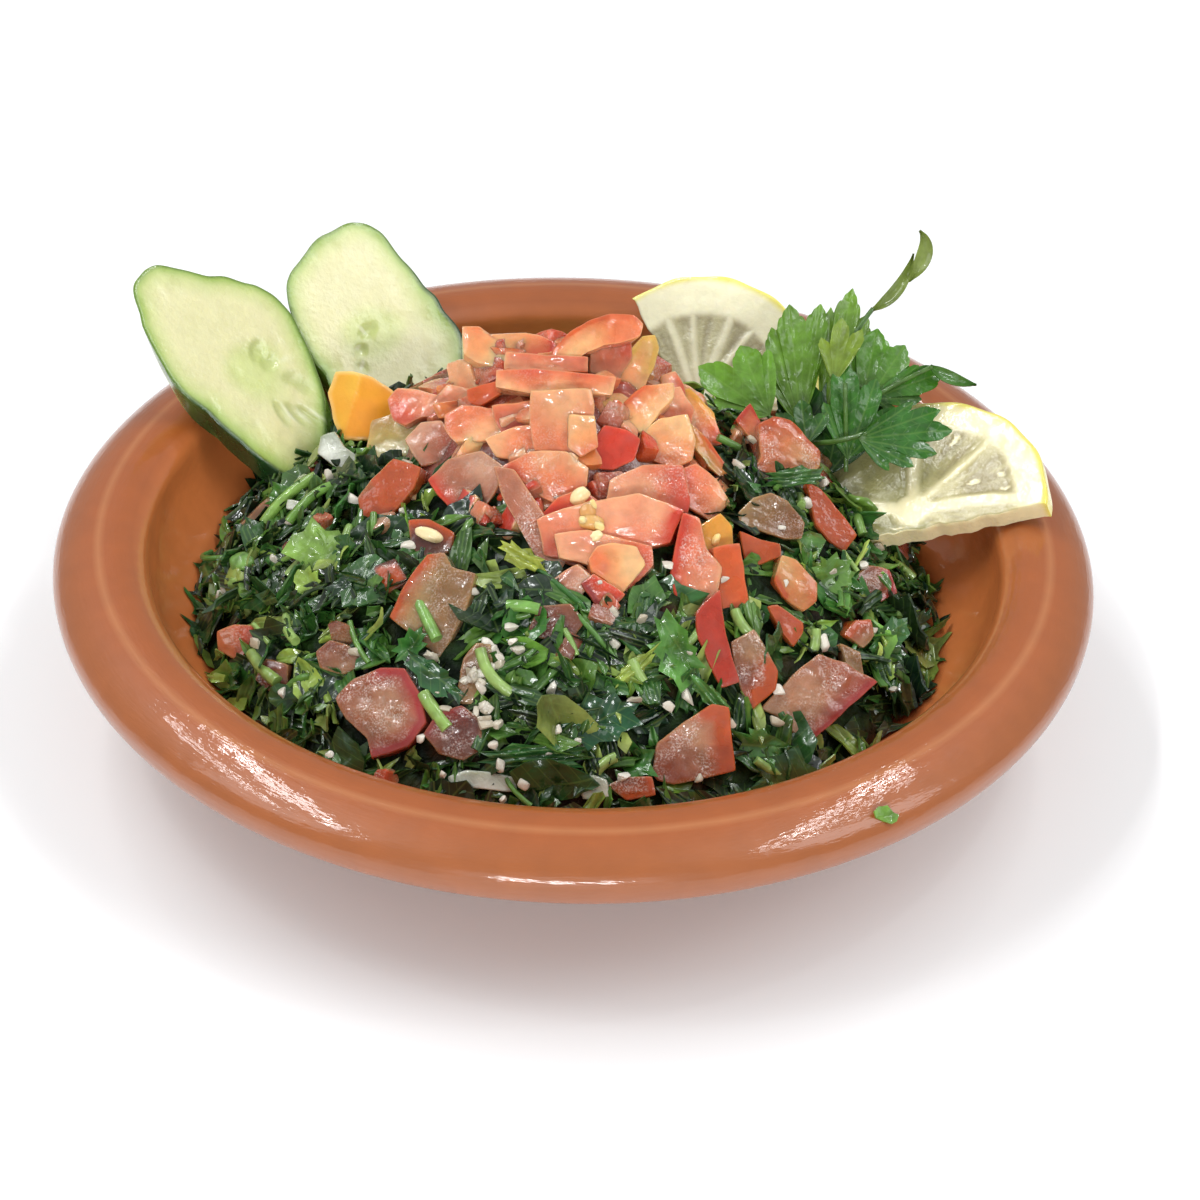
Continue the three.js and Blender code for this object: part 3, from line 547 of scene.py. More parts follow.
def crown_height(x, y):
    return np.maximum(np.maximum(mound_height(CROWN, x, y), mound_height(TONGUE, x, y)), heap_height(x, y))


def under_crown(x, y, margin=0.0):
    return crown_height(x, y) > heap_height(x, y) + margin


def lying(x, y, disorder, rng):
    """The ways that pieces lying on the heap face, with some disorder."""
    slope = 24 + 30 * np.minimum(1, np.hypot(x, y) / HEAP_RADIUS)
    outward = np.degrees(np.arctan2(x, -y))
    count = len(x)
    return facing(
        rng.uniform(0, 360, count),
        outward + rng.uniform(-disorder, disorder, count),
        90 - slope + rng.uniform(-disorder, disorder, count) / 1.5,
    )


def mound_body(radius_at, centre, top, bottom, rings, sides):
    """Closed mound with its top and bottom heights as functions of x and y."""
    angle = 2 * np.pi * np.arange(sides) / sides
    rim = np.stack([np.cos(angle), np.sin(angle)], 1) * radius_at(angle)[:, None]
    shares = np.concatenate([np.arange(1, rings + 1) / rings, [1, 0.6, 0.2]])
    plan = shares[:, None, None] * rim[None] + np.asarray(centre)
    x, y = plan[..., 0], plan[..., 1]
    height = np.concatenate([top(x[:rings], y[:rings]), bottom(x[rings:], y[rings:])])
    return stacked(raised(plan, height))


# Tomato pieces
# Each flesh has its usual colour, a paler one where it is thick and a stronger one near the skin
FLESH = {
    "salmon": ((240, 138, 94), (252, 190, 142), (226, 84, 54)),
    "peach": ((246, 168, 112), (254, 206, 150), (234, 116, 72)),
    "pink": ((236, 134, 98), (248, 180, 142), (218, 82, 62)),
    "coral": ((222, 96, 64), (238, 146, 104), (204, 58, 38)),
    "dusty": ((190, 118, 90), (218, 168, 142), (172, 78, 60)),
    "brown": ((164, 102, 74), (196, 150, 122), (146, 66, 46)),
    "tan": ((172, 128, 86), (200, 166, 124), (156, 98, 60)),
    "dark": ((118, 52, 38), (160, 98, 76), (92, 32, 26)),
    "yellow": ((226, 172, 84), (240, 206, 128), (216, 128, 54)),
    "lime": ((208, 184, 112), (226, 214, 148), (190, 146, 84)),
    "orange": ((208, 96, 40), (226, 136, 74), (190, 70, 30)),
    "red": ((220, 70, 36), (236, 112, 72), (190, 46, 32)),
    "onion": ((178, 182, 164), (214, 216, 202), (128, 144, 112)),
}
SKINS = {
    "red": linear(218, 64, 38),
    "orange": linear(222, 98, 40),
    "magenta": linear(200, 62, 68),
    "dark red": linear(158, 42, 38),
    "amber": linear(240, 172, 62),
    "yellow": linear(232, 190, 96),
}
# Pale colour along the pieces' cut edges: a painted highlight of their wet edges
CUT_EDGE_HIGHLIGHT = linear(250, 206, 150)
PULP = {"deep": linear(150, 66, 44), "wet": linear(204, 84, 64), "jelly": linear(232, 156, 62)}

# Pieces of tomato: place and height above the mound, turn and tilt of the broad face, thickness, flesh, how
# granular it is, the skin as its colour, the corners between which it runs and the width that shows, and then
# the corners of the face
CROWN_PIECES = [
    ((3, 16, 6.0), (0, 50), 6, "peach", 0.3, ("orange", 0, 5, 0.9),
     [(-8.6, -5.2), (-8.1, -2), (-5.6, 1.2), (-2, 3.8), (2, 5.3), (6.5, 5.3), (8.3, 3.6), (7.7, 1.2),
      (4.4, -0.2), (1.2, -0.8), (-2, -2.3), (-4.8, -4.9), (-7.5, -6.2)]),
    ((-15, 20, 3.5), (0, 50), 7, "peach", 0.3, ("red", 6, 9, 1.5),
     [(-8.7, 4.2), (-5.6, 4.4), (-4.2, 2.8), (-1.2, 3), (3, 3.4), (5.6, 3.1), (8.7, 1.6), (8.4, -1.4),
      (5.6, -2), (1.2, -2.6), (-0.6, -4), (-5.6, -2.8), (-8.2, -1.2)]),
    ((11, 17, 2.5), (6, 48), 7, "peach", 0.2, ("yellow", 2, 6, 1.2),
     [(-4.6, -4.2), (-2.8, -0.2), (-0.8, 3.5), (1.4, 5.9), (3.8, 6.1), (4.4, 3.5), (3.2, -0.6),
      (1.2, -4.2), (-1.6, -6.2), (-4, -6)]),
    ((5.5, 17, 1.2), (0, 45), 8, "pink", 0.2, None,
     [(-3.6, 3.8), (-0.8, 4.8), (4, 4.4), (4.4, 1.2), (2.4, -2), (1.2, -5.6), (-1.6, -5.1), (-3.6, -1.6)]),
    ((18.5, 17, 2.5), (10, 48), 7, "pink", 0.2, None,
     [(-2, 2.3), (0.9, 3.1), (2.3, 0), (2.5, -4), (0.2, -3.2), (-2, -1.2)]),
    ((-7, 11, 3.0), (0, 42), 8, "pink", 0.2, None,
     [(-7.5, 1.7), (7.4, 1.4), (7.7, -1.4), (-1.9, -1.9), (-7.8, -1.5)]),
    ((-5, 5, 3.0), (-2, 42), 8, "salmon", 0.3, None,
     [(-10.8, 1.6), (-3.7, 2.3), (11, 1.6), (10.3, -1.8), (3.5, -2), (-4.1, -2.3), (-10.7, -1.5)]),
    ((-18.5, 8, 1.6), (-8, 50), 7, "orange", 0.1, ("orange", 0, 2, 9),
     [(-3.9, -0.2), (3.6, 3.1), (3.4, 0.6), (-0.8, -3), (-3.4, -2.7)]),
    ((-25.5, 9, 1.2), (-8, 48), 7, "orange", 0.1, None,
     [(-3.9, 0.2), (2.7, 2.3), (3.8, -0.4), (-2.3, -2.4)]),
    ((-31, 15, 3.6), (-15, 48), 8, "pink", 0.5, None,
     [(-7.7, -1), (-6.3, 1.6), (-3.2, 2), (2, 1.6), (2.8, 4), (7.7, 3.8), (8.2, 0.8), (5.2, -1.6),
      (-0.4, -3), (-3.2, -5.4), (-5.6, -4.8)]),
    ((-13, 0.5, 0.8), (0, 45), 7, "coral", 0.2, None,
     [(-4.2, 1.8), (4, 3), (4.6, -2.8), (-1.6, -4), (-3.4, -1.2)]),
    ((-3.5, -3.5, 3.2), (4, 38), 10, "salmon", 0.4, None,
     [(-5.4, 5.4), (5.5, 5.7), (6, 2.8), (5.5, -4), (2.3, -6.5), (-4.8, -5.4), (-5.8, -0.4)]),
    ((1, -6, 4.0), (6, 34), 8, "peach", 0.5, None,
     [(-2.4, 3.4), (2.2, 3.2), (2.6, -2.4), (-0.6, -4.2), (-2.8, -2.4)]),
    ((7, -5, 1.2), (0, 40), 9, "red", 0.0, ("red", 0, 3, 9),
     [(-5.2, -1.4), (-1.8, 3.9), (2.4, 3.3), (4.8, 1.7), (3.8, -2.1), (0, -4.2), (-4.4, -3.6)]),
    ((13, 4, 3.0), (10, 46), 8, "peach", 0.4, ("orange", 0, 2, 0.8),
     [(-5.8, -2.8), (-4.6, 0.6), (0.2, 4), (5.7, 4.2), (5.5, 1.5), (2.7, -1), (-0.6, -5), (-3.8, -4.2)]),
    ((17, -0.5, 2.4), (10, 40), 9, "peach", 0.6, None,
     [(-5.8, -1), (-4.4, 1.8), (-0.2, 4.4), (4.7, 4.8), (5.8, 0), (4.9, -3.6), (1.5, -5), (-3.6, -2.8)]),
    ((-20.5, 0, 2.4), (-10, 46), 8, "salmon", 0.6, None,
     [(-6, 1.2), (-3.2, 3.4), (4, 3.6), (5.8, 2), (6.1, -0.8), (1.6, -2.8), (-3.2, -3.6), (-5.6, -1.4)]),
    ((-12.5, -5.5, 2.0), (0, 42), 9, "salmon", 0.5, None,
     [(-5.3, 0.5), (0.4, 3.1), (4.2, 3.5), (4.8, -1.8), (0.8, -3.4), (-3, -2.8)]),
    ((-21.5, -10.5, 2.4), (-12, 42), 9, "dusty", 0.6, ("red", 6, 9, 1.0),
     [(-7.4, -0.2), (-4.2, 4), (1.5, 6.6), (6.7, 4), (5.6, 0), (3.9, -4), (2.3, -7.4), (-1.8, -5.2),
      (-5, -2.6)]),
    ((-6, -11.5, 2.8), (0, 42), 9, "salmon", 0.9, None,
     [(-7.9, 1.2), (-3.1, 4.2), (3.4, 4.2), (7.6, 1.6), (7.3, -1.6), (2.2, -5.2), (-1.5, -3.6),
      (-4.8, -0.8)]),
    ((-1, -18.5, 1.4), (0, 38), 8, "red", 0.1, ("red", 4, 6, 3),
     [(-5.2, -0.6), (-2.2, 2.6), (1.9, 4.4), (5.7, 1.6), (2.3, -2.8), (-1.4, -4.4)]),
    ((14, -15, 2.2), (6, 40), 9, "pink", 0.7, ("red", 4, 7, 1.0),
     [(-8.1, -3), (-6.6, 4.4), (-0.8, 6.9), (6.6, 6.9), (7.7, 0.4), (6.5, -5.2), (0, -7), (-4.8, -6)]),
    ((25, -8.5, 2.2), (15, 42), 8, "salmon", 0.6, None,
     [(-4.5, 4.4), (-0.6, 5.6), (2.9, 2), (4.8, -2.2), (1, -5.6), (-3.4, -2.2)]),
    ((-8.5, -21.5, 2.8), (0, 46), 5, "dusty", 1.0, None,
     [(-7, 9.1), (-3.2, 8.5), (0.2, 3.8), (4.2, -2.6), (6.7, -7.3), (5, -10.4), (1.4, -7.3),
      (-1.8, -2.4), (-5.2, 3.6)]),
    ((6, -28.5, 1.2), (0, 42), 8, "pink", 0.6, None,
     [(-9, 4), (-3.2, 5), (8.1, 2.4), (8.5, -0.8), (4.2, -6), (0, -3.4), (-3.2, -1), (-8.1, -0.2)]),
    ((4.5, -24, 1.6), (2, 40), 6, "pink", 0.4, ("red", 3, 4, 1.6),
     [(-10.9, 2.7), (-6.2, 4.7), (7.2, 7.8), (15, 4.7), (12.6, -1), (8.9, -1.9), (5.2, -6), (-4.1, -5.6),
      (-9.3, -3.5)]),
    ((8.6, -31, 2.8), (4, 42), 6, "peach", 0.1, None,
     [(-5.2, 1.2), (-3.5, 3.3), (-1, 3.9), (3.5, 3.3), (4.7, 0), (0.6, -5.4), (-2.3, -2.7), (-4.7, -1.2)]),
    ((-1, -34.5, 1.5), (0, 40), 5, "dusty", 0.8, None,
     [(-4, -0.6), (1.6, 3.3), (4.2, 1.2), (2.8, -2.1), (-2.4, -2.8)]),
    ((5.5, -36, 1.8), (0, 40), 6, "red", 0.5, ("dark red", 3, 5, 1.2),
     [(-3.6, 1.3), (-1.5, 3.2), (4.2, -0.2), (2.4, -2.7), (-0.8, -2.4)]),
    ((26.5, 3.5, 2.6), (15, 44), 5, "yellow", 0.2, ("orange", 1, 3, 0.7),
     [(-3.7, 6.5), (-0.4, 2.8), (3.3, -4), (1.9, -6), (-0.8, -2.8), (-3.1, 1.6)]),
    ((27, -18.5, 2.4), (15, 40), 7, "yellow", 0.0, ("amber", 0, 4, 9),
     [(-2.8, 1.4), (1.8, 3.4), (3.7, 0.8), (3.2, -4), (-1.5, -4.8), (-2.6, -1.6)]),
    ((30.5, -27.5, 2.4), (12, 38), 8, "orange", 0.0, ("orange", 0, 3, 9),
     [(-2.7, 5.6), (2.2, 6), (2.9, -6), (-2.1, -6.5)]),
    ((22.5, -27.5, 2.2), (6, 40), 8, "pink", 1.0, ("red", 4, 8, 1.2),
     [(-1, 9.3), (1.9, 8.3), (3.1, 2.8), (5.5, -0.4), (4, -8.5), (-1.8, -8.8), (-3.7, -2), (-2.4, 4.4)]),
    ((-36.5, 13, 2.0), (-18, 46), 8, "lime", 0.3, None,
     [(-6, -3.6), (-6.4, 2.2), (-2.2, 4.6), (2.8, 4.2), (5.8, 0.6), (2.8, -3.8), (-2, -4.8)]),
    ((-30, 3.5, 1.8), (-15, 44), 8, "dusty", 0.5, None,
     [(-4.6, -0.4), (-2.4, 3.4), (1.4, 4.4), (4.4, 1.6), (3.8, -2.8), (-0.4, -4.8)]),
    ((24, 13, 1.4), (15, 46), 7, "salmon", 0.5, ("amber", 0, 2, 1.2),
     [(-3.4, 6), (-0.6, 6.6), (3.2, 1.2), (4, -4.6), (-0.4, -5.6), (-3.8, -1)]),
    ((19, 8.5, 1.8), (8, 46), 7, "pink", 0.4, None,
     [(-3, 4), (1.4, 5), (3.6, 0.4), (2.6, -4.4), (-2.8, -3)]),
]
SALAD_TOMATOES = [
    ((24, -58.5, 3.4), (6, 42), 8, "dusty", 1.0, ("orange", 3, 5, 3.4),
     [(-8.1, -5.1), (-7, 0.7), (-2, 4.3), (3.7, 7.7), (6.9, 7), (7.7, -5), (0.7, -6.3), (-4.1, -7.3),
      (-7.2, -6.5)]),
    ((48, -43, 3.8), (12, 42), 8, "dusty", 1.0, ("magenta", 4, 6, 1.3),
     [(-11.7, -1), (-4.3, 5), (1, 8.5), (6.5, 5.9), (12, 2), (6.3, -2), (-2.7, -8.5), (-5.3, -6.7),
      (-9, -2.3)]),
    ((35.5, -43, 2.6), (8, 42), 8, "brown", 1.0, ("orange", 3, 5, 2.6),
     [(-4.3, 5.5), (0.2, 8), (2.2, 4.3), (4.3, -0.3), (3.7, -3.9), (-1.7, -7.8), (-3, -3.7), (-4.2, 1)]),
    ((28, -41, 3.4), (6, 42), 7, "orange", 0.0, ("red", 0, 5, 9),
     [(-4, 5.3), (-1.7, 7.7), (0.9, 9.7), (1.4, 2.3), (2.5, -3), (4, -8), (0.3, -9.1), (-2, -4.3),
      (-4, 1)]),
    ((43, -23.5, 3.4), (15, 44), 7, "peach", 0.2, ("orange", 6, 8, 1.2),
     [(-4.1, 1), (-1.5, 5.8), (1.2, 4.5), (4.7, -0.5), (4.1, -4), (1.1, -6), (-2.7, -2.3)]),
    ((41.5, -32, 2.4), (15, 42), 6, "coral", 0.2, ("orange", 3, 6, 1.5),
     [(-3.3, 4), (-1.2, 4.1), (3.5, 0), (3, -2), (0.8, -4.7), (-1.7, -0.3)]),
    ((-26.5, -38.5, 3.6), (-6, 42), 6, "tan", 0.6, ("orange", 0, 2, 1.2),
     [(-7.8, -3.8), (-5.7, 2.4), (-1.9, 9), (1.4, 9.4), (3, 7), (7.8, 6.2), (7.4, 1.7), (5.8, -3.8),
      (2.8, -10.7), (-0.7, -8.3), (-4, -6)]),
    ((-37.5, -7.5, 3.2), (-15, 44), 8, "tan", 0.3, ("orange", 2, 6, 6.4),
     [(-5.7, -2.4), (-3.8, 1.7), (-0.3, 6.6), (5.7, 5.9), (5.4, 1.4), (2.4, -3.9), (-0.3, -6.8),
      (-4.1, -5.9)]),
    ((-35, -56, 4.0), (-12, 42), 9, "dusty", 1.0, ("magenta", 2, 7, 1.5),
     [(-9, 1), (-6.2, 5.2), (-1.4, 8), (3.1, 8.7), (7.6, 3.8), (9.3, -0.5), (6.6, -5.4), (0, -9),
      (-1.5, -5.4), (-6.2, -2.4)]),
    ((-21, -60.5, 3.0), (-5, 40), 7, "dark", 1.0, ("dark red", 0, 2, 1.0),
     [(-5.7, -0.9), (-3.1, 3.4), (1, 5.1), (4.8, 2.8), (5.5, -2.6), (2.4, -5), (-2.4, -4.2)]),
    ((-65.5, -28.5, 2.2), (-20, 40), 7, "coral", 0.7, None,
     [(-4.8, 0.8), (-1.4, 2.9), (3.8, 4.1), (4.5, -0.8), (0.3, -3.6), (-3.6, -2.8)]),
    ((-17.5, -51.5, 1.6), (0, 42), 6, "tan", 0.8, None,
     [(-3.3, -2), (-2.2, 3.4), (0, 6.6), (2.8, 6.4), (3.3, 2.8), (1.2, -4.9), (-2.8, -5.2)]),
    ((-44, -42.5, 1.6), (-15, 42), 6, "brown", 0.8, None,
     [(-4.7, 0), (-2.4, 2.8), (1.7, 2.2), (5.7, -0.7), (1.7, -3.2), (-3.3, -2.9)]),
    ((-28, -23, 1.8), (-8, 46), 6, "dark", 0.4, ("orange", 0, 2, 1.0),
     [(-4.8, 3.4), (-0.7, 4), (4.8, 2), (4.5, -2), (0.7, -4.5), (-3.4, -2)]),
    ((56.5, -25, 2.2), (25, 42), 5, "brown", 0.6, ("orange", 0, 2, 1.0),
     [(-3, 0.7), (0.3, 3), (3.7, 2.5), (3.4, -0.9), (0.3, -2.7)]),
    ((55.5, -31.5, 2.0), (22, 42), 5, "tan", 0.6, None, [(-2, 4.7), (2, 2.2), (1.4, -4.2), (-1.5, -1.5)]),
    ((12.5, -66, 2.2), (4, 38), 6, "brown", 0.9, ("orange", 2, 4, 1.2),
     [(-4.4, 0.5), (-1, 2), (3.9, 2.1), (4.5, -1.4), (-1, -2.4)]),
    ((42.5, 9.5, 4.0), (14, 42), 9, "salmon", 1.0, ("orange", 0, 4, 1.0),
     [(-5.6, 5.6), (-2.2, 6.7), (1.1, 5.6), (3.8, 2.4), (6.4, -1.3), (5.9, -4.2), (3.8, -6.2), (0, -5.9),
      (-4.3, -5.6), (-8, -3.5), (-6.2, -1.3)]),
    ((34.5, 14, 3.4), (8, 46), 6, "salmon", 0.3, ("red", 0, 2, 0.8),
     [(-2.8, 1.3), (0.5, 4.8), (2.4, 1.1), (3.4, -2.2), (1.6, -4), (-1.1, -1.6)]),
    ((51.5, -1, 3.4), (18, 42), 7, "orange", 0.0, ("orange", 0, 6, 9),
     [(-4, 8.1), (-1.3, 6.5), (2.4, 0.5), (4.7, -4), (1.3, -7.2), (-1.3, -4.8), (-3.8, -0.5)]),
    ((38.5, -10, 3.0), (12, 42), 7, "tan", 0.7, None,
     [(-6.7, 1.6), (-3.2, 4.3), (0.5, 5), (3.8, 3.2), (6.9, -1.6), (5.9, -4.8), (2.2, -4.6), (-1.1, -3),
      (-6.5, -0.5)]),
    ((36.5, -17.5, 2.0), (12, 42), 8, "orange", 0.0, ("orange", 0, 3, 9),
     [(-4, 3.8), (0.3, 1.6), (3.9, 0.5), (4, -2.1), (-3.4, -4)]),
    ((-2.5, -42, 1.6), (0, 44), 7, "dark", 0.6, None,
     [(-5.5, -2), (-3.5, 2.6), (2.4, 3.4), (5.4, 0.4), (3.2, -3.4), (-2.6, -3.6)]),
    ((-57, -40, 1.4), (-20, 42), 6, "dark", 0.6, None,
     [(-3.5, -2), (-2.5, 2.6), (2.4, 2.4), (3.4, -1.4), (0.2, -3.4)]),
    ((41, 25, 2.2), (15, 45), 7, "coral", 0.5, ("orange", 0, 2, 1.0),
     [(-5, 3), (0, 5), (5, 2), (4, -4), (-4, -4)]),
    ((61, -8, 1.6), (30, 44), 6, "brown", 0.6, ("magenta", 2, 4, 1.0),
     [(-4, 3), (0, 4), (4, 2), (4, -3), (-3, -4)]),
]
# Bits of onion: place and height, turn and tilt, thickness and corners
ONIONS = [
    ((-14, -67, 1.8), (0, 40), 2.5,
     [(-8, 0.6), (-4, 2), (2, 1.6), (8, 0.4), (6, -1.8), (-2, -1.4), (-7, -1)]),
    ((5.5, -67, 2.0), (5, 40), 2.5, [(-3, 1), (0, 2.6), (2.6, 1.6), (3, -1.6), (-2, -2)]),
    ((-50, 17, 3.4), (-20, 45), 2.5,
     [(-5, 2.6), (-2, 4.4), (1, 1.6), (5.6, 0), (4.4, -3.6), (0, -2.8), (-4.4, -1)]),
    ((-57, 3, 2.4), (-20, 45), 2.0, [(-2.4, 0.9), (2.2, 1.1), (2.4, -0.9), (-2.2, -1.1)]),
]
# Seeds: place and height, size and colour
SEED_SINK = 1.5
SEEDS = [
    ((-28.0, -22.5, 3.8), (6.2, 2.8, 2.2), linear(240, 220, 170)),
    ((0.7, -16.6, 5.1), (4.2, 3.0, 2.0), linear(238, 218, 164)),
    ((2.4, -20.6, 5.3), (4.0, 3.4, 2.6), linear(206, 150, 84)),
    ((3.4, -19.8, 5.9), (2.8, 1.9, 1.5), linear(232, 200, 128)),
    ((3.2, -22.6, 4.7), (4.8, 3.2, 2.4), linear(214, 164, 92)),
    ((1.8, -22.8, 5.2), (2.4, 1.6, 1.3), linear(238, 212, 146)),
    ((4.6, -23.4, 5.0), (2.6, 1.8, 1.4), linear(236, 208, 136)),
    ((4.2, -25.4, 4.4), (3.0, 2.2, 1.7), linear(240, 220, 166)),
    ((27.5, -19.5, 3.4), (2.6, 1.5, 1.2), linear(240, 214, 140)),
    ((26.8, -17.2, 3.6), (2.4, 1.4, 1.2), linear(238, 206, 122)),
]
CROWN_TONE = (0.76, 0.73, 0.66)
SALAD_TONE = (0.54, 0.51, 0.39)
CROWN_SPREAD = 1.1
CROWN_FLESH = ["salmon", "peach", "pink", "coral", "salmon", "dusty", "peach", "red", "orange"]
CROWN_SKINS = ["red", "orange"]
CROWN_CORE_GRID = (30, 84)
# The smaller pieces: how many, and their least and greatest sizes
CROWN_FILLERS = 84
FILLER_SIZES = ((4, 3.5, 3), (9, 7, 6))
BACK_FILLER_SIZES = ((7, 6, 5), (13, 11, 8))
BEHIND_CROWN = 9
SALAD_FLESH = ["brown", "dusty", "tan", "dusty", "coral", "dark", "brown"]
SALAD_SKINS = ["orange", "red", "magenta"]
BACK_PIECES = 20
BACK_SIZES = ((8, 8, 6), (14, 12, 9))
BACK_SHARES = [0.6, 0.75, 0.9]
SALAD_BITS = 34
BIT_SIZES = (3, 7)
TOP_SIDE = 4
SLAB_RINGS = 9
SLAB_EDGE = 0.22
CUT_STEP = 0.75
TOMATO_CREASE = 34


def cube_grid(steps):
    """Points of a cube's surface from -1 to 1, and its triangles facing out."""
    line = np.linspace(-1, 1, steps + 1)
    u, v = np.meshgrid(line, line, indexing="ij")
    index = np.arange((steps + 1) ** 2).reshape(steps + 1, steps + 1)
    a, b, c, d = index[:-1, :-1], index[1:, :-1], index[1:, 1:], index[:-1, 1:]
    square = np.concatenate([np.stack([a, b, c], -1).reshape(-1, 3), np.stack([a, c, d], -1).reshape(-1, 3)])
    points, triangles = [], []
    for axis in range(3):
        for sign in (1, -1):
            face = np.zeros((*u.shape, 3))
            face[..., axis] = sign
            face[..., (axis + 1) % 3] = u
            face[..., (axis + 2) % 3] = v
            triangles.append((square if sign > 0 else square[:, ::-1]) + len(points) * (steps + 1) ** 2)
            points.append(face.reshape(-1, 3))
    joined, inverse = np.unique(np.round(np.concatenate(points), 6), axis=0, return_inverse=True)
    return joined, inverse.reshape(-1)[np.concatenate(triangles)]


GRIDS = {steps: cube_grid(steps) for steps in (3, 6, 8)}


def chunk(rng, size, steps, cuts=3, sharpness=26, uneven=0.22):
    """Chopped piece with soft edges.

    Gives its points and triangles, and for each point the nearest side and how close to an edge it is.
    """
    grid, triangles = GRIDS[steps]
    half = np.asarray(size, float) / 2
    direction = unit(grid * half)
    normals = np.array([[1, 0, 0], [-1, 0, 0], [0, 1, 0], [0, -1, 0], [0, 0, 1], [0, 0, -1]], float)
    normals = unit(normals + rng.uniform(-uneven, uneven, normals.shape))
    distances = np.repeat(half, 2) * rng.uniform(0.93, 1.04, 6)
    for _ in range(cuts):
        corner = rng.choice([-1, 1], 3) * rng.uniform(0.1, 1, 3)
        normal = unit(corner / half)
        normals = np.vstack([normals, normal])
        distances = np.append(distances, (np.abs(normal) @ half) * rng.uniform(0.68, 0.9))
    reach = np.clip(direction @ normals.T / distances, 1e-4, None)
    radius = (reach**sharpness).sum(1) ** (-1 / sharpness)
    ranked = np.sort(reach, 1)
    return direction * radius[:, None], triangles, reach.argmax(1), ranked[:, -2] / ranked[:, -1]


def pebble(size, shift):
    """Uneven round body, such as a seed."""
    grid, triangles = GRIDS[6]
    points = unit(grid) * (1 + 0.16 * noise(grid * 1.3 + shift, 1.0, 9))[:, None]
    return points * np.asarray(size, float) / 2, triangles


def flesh_tint(rng, flesh, spots, lean):
    """Colour of the cut flesh: paler on one side, stronger on the other, and mottled."""
    usual, pale, strong = (linear(*colour) for colour in FLESH[flesh])
    patch = noise(spots, 5.5, 3)
    fine = noise(spots, 1.8, 4)
    tint = mixed(usual, pale, 0.9 * smooth(0.3, -0.8, lean + 0.7 * patch))
    tint = mixed(tint, strong, 0.75 * smooth(0.3, 1.1, lean + 0.7 * patch))
    return tint * (rng.uniform(0.94, 1.06) + 0.05 * fine[:, None])


def tomato_bit(pile, rng, centre, size, turned, flesh, skin=None, steps=6):
    """A smaller piece: an uneven block of flesh, with skin on top where it is named."""
    points, triangles, side, edge = chunk(rng, size, steps)
    spots = points + rng.uniform(-500, 500, 3)
    on_skin = (side == TOP_SIDE) * 1.0 if skin else np.zeros(len(points))
    lean = unit(points) @ unit(rng.normal(0, 1, 3))
    points = points + unit(points) * (0.35 * noise(spots, 3.0, 1) * (1 - 0.7 * on_skin))[:, None]
    tint = flesh_tint(rng, flesh, spots, lean)
    # Painted highlight along the cut edges
    tint = mixed(tint, CUT_EDGE_HIGHLIGHT, 0.25 * smooth(0.96, 1.0, edge))
    if skin:
        tint = mixed(tint, SKINS[skin], on_skin * smooth(1.0, 0.95, edge))
    pile.add(points @ turned.T + centre, triangles, tint, (1 - on_skin) * rng.uniform(0.2, 1.0))


def cut_outline(corners, shift):
    """Closed outline with straight cuts in short steps, slightly soft corners and a little unevenness."""
    corners = np.asarray(corners, float)
    ahead = np.roll(corners, -1, axis=0)
    if np.sum(corners[:, 0] * ahead[:, 1] - ahead[:, 0] * corners[:, 1]) < 0:
        corners = corners[::-1]
    sides = []
    for a, b in zip(corners, np.roll(corners, -1, axis=0)):
        steps = max(2, int(np.linalg.norm(b - a) / CUT_STEP))
        sides.append(a + (b - a) * np.linspace(0, 1, steps, endpoint=False)[:, None])
    line = np.concatenate(sides)
    line = (np.roll(line, 1, axis=0) + 6 * line + np.roll(line, -1, axis=0)) / 8
    uneven = noise(raised(line) + shift, 2.6, 5)
    return line + unit(line - line.mean(0)) * 0.22 * uneven[:, None]


def line_distance(places, line):
    """Distance of each place to a line through the given points."""
    nearest = np.full(len(places), 99.0)
    for a, b in zip(line, line[1:]):
        t = np.clip(((places - a) @ (b - a)) / max((b - a) @ (b - a), 1e-9), 0, 1)
        nearest = np.minimum(nearest, np.linalg.norm(places - a - t[:, None] * (b - a), axis=1))
    return nearest


def closed(line):
    return np.vstack([line, line[:1]])


def slab(outline, thickness, flare, slip):
    """Closed slice of an outline: face at height 0 in rings, narrow cut edge, leaning sides and a back."""
    low, high = outline.min(0), outline.max(0)
    middle = (low + high) / 2
    edge = SLAB_EDGE / (min(high - low) / 2)
    loops = []
    for share in np.append(np.arange(1, SLAB_RINGS) / SLAB_RINGS * (1 - edge), 1 - edge):
        loops.append(raised(middle + (outline - middle) * share))
    wide = 1 + flare
    sides = [(SLAB_EDGE, 1.0), (thickness / 2, (1 + wide) / 2), (thickness - SLAB_EDGE, wide)]
    for depth, share in (*sides, (thickness, wide * (1 - edge)), (thickness, 0.45)):
        plan = middle + (outline - middle) * share + np.asarray(slip) * depth / thickness
        loops.append(raised(plan, -depth))
    return stacked(np.array(loops))


